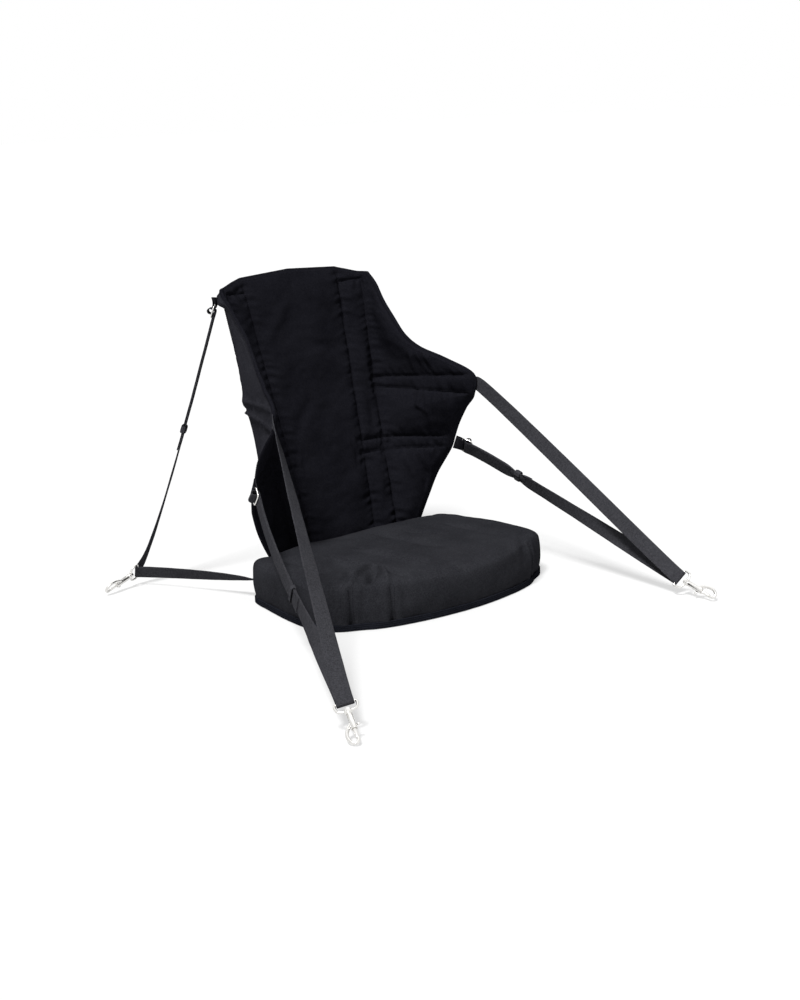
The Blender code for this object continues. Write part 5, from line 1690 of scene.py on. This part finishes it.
def sewn_patch(name, side, rows, lift):
    """A square of cloth sewn over the strap's end; returns the places of its stitches."""
    long = 0.020
    columns = 10
    verts = []
    cloth = []
    low, high = rows
    for layer in (1.0, 0.0):
        for j in range(columns + 1):
            row = lerp(low, high, j / columns)
            for i in range(columns + 1):
                s_edge, h_edge = (float(v) for v in quilt_places(3.0, row))
                s = s_edge - lerp(long, 0.0015, i / columns)
                column = 2.0 + (s - float(outer_seam(h_edge))) / (
                    s_edge - float(outer_seam(h_edge)))
                s, h = (float(v) for v in quilt_places(column, row))
                verts.append((s * side, h, layer))
                cloth.append((s, h))
    flat = np.array(verts)
    over = back_points(flat[:, 0], flat[:, 1], np.full(len(flat), 0.004))
    under = back_points(flat[:, 0], flat[:, 1], np.full(len(flat), -0.012))
    placed = []
    for start, goal, (_, _, layer) in zip(over, under, verts):
        start, goal = Vector(start), Vector(goal)
        hit, normal, _, _ = back_surface.ray_cast(start, (goal - start).normalized())
        if hit is None:
            hit, normal, _, _ = back_surface.find_nearest(start)
        placed.append(hit + normal * (lift * layer - 0.0004 * (1.0 - layer)))
    row = columns + 1
    patch = solid_sheet(name, placed, cloth, row, row, BLACK_CLOTH)
    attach(patch, "seat")
    return [placed[(j + 1) * row + i + 1] for j, i in grid_rim(columns - 1, columns - 1)]


def build_straps():
    fronts = (("front_right", 1.0, None, Vector((0.97, 0.02, 0.30)),
               (0.03, 0.05, 0.05, 0.10), 0.105, 0.42),
              ("front_left", -1.0, Vector((-0.25, -0.62, -0.74)), Vector((-1.0, 0.20, -0.10)),
               (0.03, 0.05, 0.20, 0.22), 0.250, 0.10))
    boxes = []
    for word, side, way, bulge, slack, keeper_at, gather in fronts:
        eye = HOOKS[word][0]
        root, root_way, root_across = edge_root(side, LOWER_CHANNEL_ROWS[0])
        root += root_way * (1.5 * GAP)
        if way is None:
            way = (eye - root).normalized() + root_way * 0.8
        slider = Slider(root, root_way, root_across, way, bulge)
        build_slider(word, slider)
        build_tab(word, slider)
        build_strap(word, edge_root(side, UPPER_CHANNEL_ROWS[0]), slider, keeper_at, slack,
                    1.0, gather)
        boxes.append((sewn_patch("sewn_end_" + word, side, UPPER_CHANNEL_ROWS, 0.0009), True))
    for word, side in (("rear_left", -1.0), ("rear_right", 1.0)):
        eye = HOOKS[word][0]
        h_tab = QUILT_ROWS[CREASE_ROW][0]
        s_tab = outer_seam(h_tab)
        on_cloth = back_point(side * s_tab, h_tab, -PAD_THICK)
        outward = (back_point(side * s_tab, h_tab, -PAD_THICK - 0.01) - on_cloth).normalized()
        root = on_cloth + outward * (WEB_THICK + 4.0 * GAP)
        way = (eye - root).normalized()
        root_way = square_to(way, outward)
        slider = Slider(root, root_way, root_way.cross(outward), way,
                        Vector((side * 0.76, 0.65, 0.04)))
        build_slider(word, slider)
        build_tab(word, slider)
        build_strap(word, seat_root(side, REAR_STRAP_Z), slider, 0.195,
                    (0.10, 0.06, 0.06, 0.04), 2.5, 0.10)
    stitch_lines("strap_stitches", boxes, pitch=0.0030)


build_straps()


# Bolt snaps, in the hook's own axes: x along the strap bar, y the way the hook points
def loose_piece(name, shape, finish=NICKEL):
    verts, faces = shape
    return face_out(make_piece(name, verts, faces, [finish]))


def eye_pattern():
    half, deep = EYE_HALF, EYE_DEPTH
    path = [(-half * 0.88, 0.0, 0.0), (-half / 3, 0.0, 0.0), (half / 3, 0.0, 0.0),
            (half * 0.88, 0.0, 0.0), (half, 0.0016, 0.0), (half * 1.02, deep * 0.42, 0.0),
            (half * 0.90, deep * 0.80, 0.0), (half * 0.55, deep * 0.98, 0.0),
            (0.0, deep, 0.0), (-half * 0.55, deep * 0.98, 0.0),
            (-half * 0.90, deep * 0.80, 0.0), (-half * 1.02, deep * 0.42, 0.0),
            (-half, 0.0016, 0.0)]
    loop = loose_piece("eye", tube(smooth_path(path, 0.0011, closed=True), EYE_BAR_R, 16, True,
                                   Vector((0, 0, 1))))
    low, high = deep - HUB_LENGTH / 2.0, deep + HUB_LENGTH / 2.0
    soft = 0.0006
    hub = [(0.0, low), (HUB_R - soft, low), (HUB_R, low + soft), (HUB_R, high - soft),
           (HUB_R - soft, high), (0.0, high)]
    boolean(loop, loose_piece("hub", turned(hub, 32)), "UNION")
    bore = PIN_R + PIN_CLEAR
    drill = [(0.0, low - 0.002), (bore, low - 0.002), (bore, high + 0.002), (0.0, high + 0.002)]
    boolean(loop, loose_piece("drill", turned(drill, 32)), "DIFFERENCE")
    return loop


def body_pattern():
    hub_low = EYE_DEPTH - HUB_LENGTH / 2.0
    hub_high = EYE_DEPTH + HUB_LENGTH / 2.0
    head = PIN_R + 0.0012
    profile = [(0.0, hub_low - 0.0024), (head * 0.6, hub_low - 0.0022),
               (head, hub_low - 0.0014), (head, hub_low - GAP), (PIN_R, hub_low - GAP),
               (PIN_R, hub_high + GAP), (COLLAR_R - 0.0005, hub_high + GAP),
               (COLLAR_R, hub_high + GAP + 0.0005), (COLLAR_R, hub_high + 0.0022),
               (COLLAR_R - 0.0005, hub_high + 0.0027), (BARREL_R - 0.0004, hub_high + 0.0036),
               (BARREL_R - 0.0004, hub_high + 0.0050), (BARREL_R, hub_high + 0.0056),
               (BARREL_R, BARREL_END - 0.0016), (BARREL_R + 0.0004, BARREL_END - 0.0012),
               (BARREL_R + 0.0004, BARREL_END - 0.0004), (BARREL_R, BARREL_END),
               (0.0, BARREL_END)]
    body = loose_piece("body", turned(profile, 32))
    top = HOOK_TOP_Y - HOOK_WIRE_R
    side = HOOK_SIDE
    path = [(BARREL_R - 0.0012, BARREL_END - 0.0100), (side * 0.62, BARREL_END - 0.0040),
            (side * 0.92, BARREL_END + 0.0050), (side * 0.96, BARREL_END + 0.0140),
            (side * 0.74, top - 0.0030), (side * 0.36, top), (0.0012, top - 0.0016),
            (-0.0004, top - 0.0050), (0.0, HOOK_TIP_Y)]
    points = smooth_path([(x, y, 0.0) for x, y in path], 0.0010)
    count = len(points)
    radii = [HOOK_WIRE_R * (1.10 - 0.16 * i / (count - 1)) for i in range(count)]
    hook = loose_piece("hook", tube(points, radii, 18, False, Vector((0, 0, 1))))
    boolean(body, hook, "UNION")
    bore = [(0.0, BORE_START), (BORE_R, BORE_START), (BORE_R, BARREL_END + 0.004),
            (0.0, BARREL_END + 0.004)]
    boolean(body, loose_piece("bore", turned(bore, 28)), "DIFFERENCE")
    near = KNOB_AT - STROKE - KNOB_R - 0.0004
    far = KNOB_AT + KNOB_R + 0.0004
    half = SLOT_WIDTH / 2.0
    corners = [Vector((x, y, z)) for z in (-half, half) for x, y in
               ((0.0, near), (-BARREL_R - 0.002, near), (-BARREL_R - 0.002, far), (0.0, far))]
    sides = [(0, 1, 2, 3), (7, 6, 5, 4), (0, 4, 5, 1), (1, 5, 6, 2), (2, 6, 7, 3), (3, 7, 4, 0)]
    boolean(body, loose_piece("slot", (corners, sides)), "DIFFERENCE")
    return body


def bolt_pattern():
    radius = BORE_R - 0.0003
    rear = KNOB_AT - 0.0030
    front = HOOK_TIP_Y - GAP
    profile = [(0.0, rear), (radius, rear), (radius, front - 0.0008),
               (radius - 0.0003, front - 0.0002), (radius - 0.0008, front), (0.0, front)]
    bolt = loose_piece("bolt", turned(profile, 28))
    stem = [Vector((-0.0010, KNOB_AT, 0)), Vector((-KNOB_REACH + 0.0012, KNOB_AT, 0))]
    boolean(bolt, loose_piece("stem", tube(stem, KNOB_R, 16, False, Vector((0, 0, 1)))),
            "UNION")
    head = [(-BARREL_R - 0.0012, 0.75), (-BARREL_R - 0.0016, 1.0), (-KNOB_REACH + 0.0012, 1.0),
            (-KNOB_REACH + 0.0003, 0.8), (-KNOB_REACH, 0.4)]
    shape = tube([Vector((x, KNOB_AT, 0)) for x, _ in head],
                 [KNOB_R * 1.7 * r for _, r in head], 20, False, Vector((0, 0, 1)))
    boolean(bolt, loose_piece("head", shape), "UNION")
    return bolt


def spring_tree():
    """A coil of round wire from its turns, radius, height and wire thickness."""
    tree = bpy.data.node_groups.new("coil_spring", "GeometryNodeTree")
    ids = {"Turns": tree_socket(tree, "Turns", "NodeSocketFloat", float(SPRING_TURNS)),
           "Radius": tree_socket(tree, "Radius", "NodeSocketFloat", 0.002),
           "Height": tree_socket(tree, "Height", "NodeSocketFloat", 0.01),
           "Wire": tree_socket(tree, "Wire", "NodeSocketFloat", SPRING_WIRE_R),
           "Metal": tree_socket(tree, "Metal", "NodeSocketMaterial")}
    tree.interface.new_socket(name="Coil", in_out="OUTPUT", socket_type="NodeSocketGeometry")
    start = tree.nodes.new("NodeGroupInput")
    end = tree.nodes.new("NodeGroupOutput")
    spiral = tree.nodes.new("GeometryNodeCurveSpiral")
    spiral.inputs["Resolution"].default_value = 20
    circle = tree.nodes.new("GeometryNodeCurvePrimitiveCircle")
    circle.inputs["Resolution"].default_value = 8
    mesh = tree.nodes.new("GeometryNodeCurveToMesh")
    mesh.inputs["Fill Caps"].default_value = True
    real = tree.nodes.new("GeometryNodeRealizeInstances")
    finish = tree.nodes.new("GeometryNodeSetMaterial")
    wire(tree, ((start, "Turns", spiral, "Rotations"), (start, "Radius", spiral, "Start Radius"),
                (start, "Radius", spiral, "End Radius"), (start, "Height", spiral, "Height"),
                (start, "Wire", circle, "Radius"), (spiral, 0, mesh, "Curve"),
                (circle, "Curve", mesh, "Profile Curve"), (mesh, "Mesh", real, "Geometry"),
                (real, "Geometry", finish, "Geometry"), (start, "Metal", finish, "Material"),
                (finish, "Geometry", end, "Coil")))
    return tree, ids


def spring_pattern():
    low = BORE_START + GAP + SPRING_WIRE_R
    high = KNOB_AT - 0.0030 - GAP - SPRING_WIRE_R
    tree, ids = spring_tree()
    thing = bpy.data.objects.new("spring", bpy.data.meshes.new("spring"))
    bpy.context.scene.collection.objects.link(thing)
    coil = thing.modifiers.new("coil", "NODES")
    coil.node_group = tree
    coil[ids["Radius"]] = BORE_R - 0.0004 - SPRING_WIRE_R
    coil[ids["Height"]] = high - low
    coil[ids["Wire"]] = SPRING_WIRE_R
    coil[ids["Metal"]] = SPRING_STEEL
    settle(thing)
    # The coil grows along z; it is laid along y
    thing.data.transform(Matrix.Translation((0.0, low, 0.0))
                         @ Matrix.Rotation(math.radians(-90.0), 4, "X"))
    thing.data.shade_smooth()
    return face_out(thing)


def build_hooks():
    patterns = (("eye_loop_", "hook_eye_", "eye_", eye_pattern(), "nickel"),
                ("snap_body_", "hook_body_", "snap_", body_pattern(), "nickel"),
                ("snap_bolt_", "hook_bolt_", "bolt_", bolt_pattern(), "nickel"),
                ("snap_spring_", "hook_spring_", "snap_", spring_pattern(), "spring_steel"))
    for word, (eye, bar, lead) in HOOKS.items():
        lead = lead.normalized()
        bar = square_to(bar, lead)
        axes = Matrix((bar, lead, bar.cross(lead))).transposed().to_4x4()
        axes.translation = eye
        for name, node, body, pattern, slot in patterns:
            made = bpy.data.objects.new(name + word, pattern.data.copy())
            made.data.transform(axes)
            bpy.context.scene.collection.objects.link(made)
            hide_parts(node + word)
            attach(made, body + word)
    for _, _, _, pattern, _ in patterns:
        bpy.data.objects.remove(pattern, do_unlink=True)


build_hooks()


# Floor, light and camera
def build_stage():
    level = cad_box[0][2] - 0.0003
    size = 40.0
    made, tree, shader = new_finish("studio_floor", 0.9)
    shader.inputs["Base Color"].default_value = (FLOOR_GREY, FLOOR_GREY, FLOOR_GREY, 1.0)
    shader.inputs["Specular IOR Level"].default_value = 0.0
    glow = tree.nodes.new("ShaderNodeEmission")
    glow.inputs["Strength"].default_value = GLOW_STRENGTH
    mix = tree.nodes.new("ShaderNodeMixShader")
    tree.links.new(math_node(tree, "MULTIPLY", seen_directly(tree), FLOOR_GLOW), mix.inputs[0])
    tree.links.new(shader.outputs[0], mix.inputs[1])
    tree.links.new(glow.outputs[0], mix.inputs[2])
    tree.links.new(mix.outputs[0], tree.nodes["Material Output"].inputs["Surface"])
    floor = make_piece("studio_floor", [(-size, -size, level), (size, -size, level),
                                        (size, size, level), (-size, size, level)],
                       [(0, 1, 2, 3)], [made])
    world = bpy.data.worlds.new("studio")
    bpy.context.scene.world = world
    world.use_nodes = True
    back = world.node_tree.nodes["Background"]
    back.inputs["Color"].default_value = (1.0, 1.0, 1.0, 1.0)
    strength = math_node(world.node_tree, "MULTIPLY_ADD", seen_directly(world.node_tree),
                         1.0 - WORLD_LIGHT, WORLD_LIGHT)
    world.node_tree.links.new(strength, back.inputs["Strength"])


def add_sun(name, place, strength, spread):
    """Soft light that is equally strong everywhere, from the way of place."""
    light = bpy.data.lights.new(name, "SUN")
    light.energy = strength
    light.angle = math.radians(spread)
    lamp = bpy.data.objects.new(name, light)
    lamp.location = place
    lamp.rotation_euler = (-Vector(place)).to_track_quat("-Z", "Y").to_euler()
    bpy.context.scene.collection.objects.link(lamp)


def build_camera():
    azimuth, elevation, roll = CAMERA_AZIMUTH, CAMERA_ELEVATION, CAMERA_ROLL
    ahead = Vector((-math.sin(azimuth), math.cos(azimuth), 0.0)) * math.cos(elevation)
    ahead.z = -math.sin(elevation)
    right = Vector((math.cos(azimuth), math.sin(azimuth), 0.0))
    up = right.cross(ahead)
    turned_right = right * math.cos(roll) + up * math.sin(roll)
    turned_up = up * math.cos(roll) - right * math.sin(roll)
    camera = bpy.data.objects.new("camera", bpy.data.cameras.new("camera"))
    axes = Matrix((turned_right, turned_up, -ahead)).transposed().to_4x4()
    axes.translation = CAMERA_PLACE
    camera.matrix_world = axes
    camera.data.sensor_fit = "VERTICAL"
    camera.data.sensor_height = SENSOR_HIGH
    camera.data.lens = CAMERA_FOCAL * SENSOR_HIGH
    camera.data.clip_end = 60.0
    bpy.context.scene.collection.objects.link(camera)
    bpy.context.scene.camera = camera


build_stage()
add_sun("key", (-1.45, -0.75, 2.8), 3.2, 14.0)
add_sun("fill", (-1.0, -2.0, 0.9), 0.25, 100.0)
add_sun("rear", (1.0, 1.6, 2.2), 0.35, 60.0)
build_camera()
bpy.context.scene.view_settings.view_transform = "Standard"
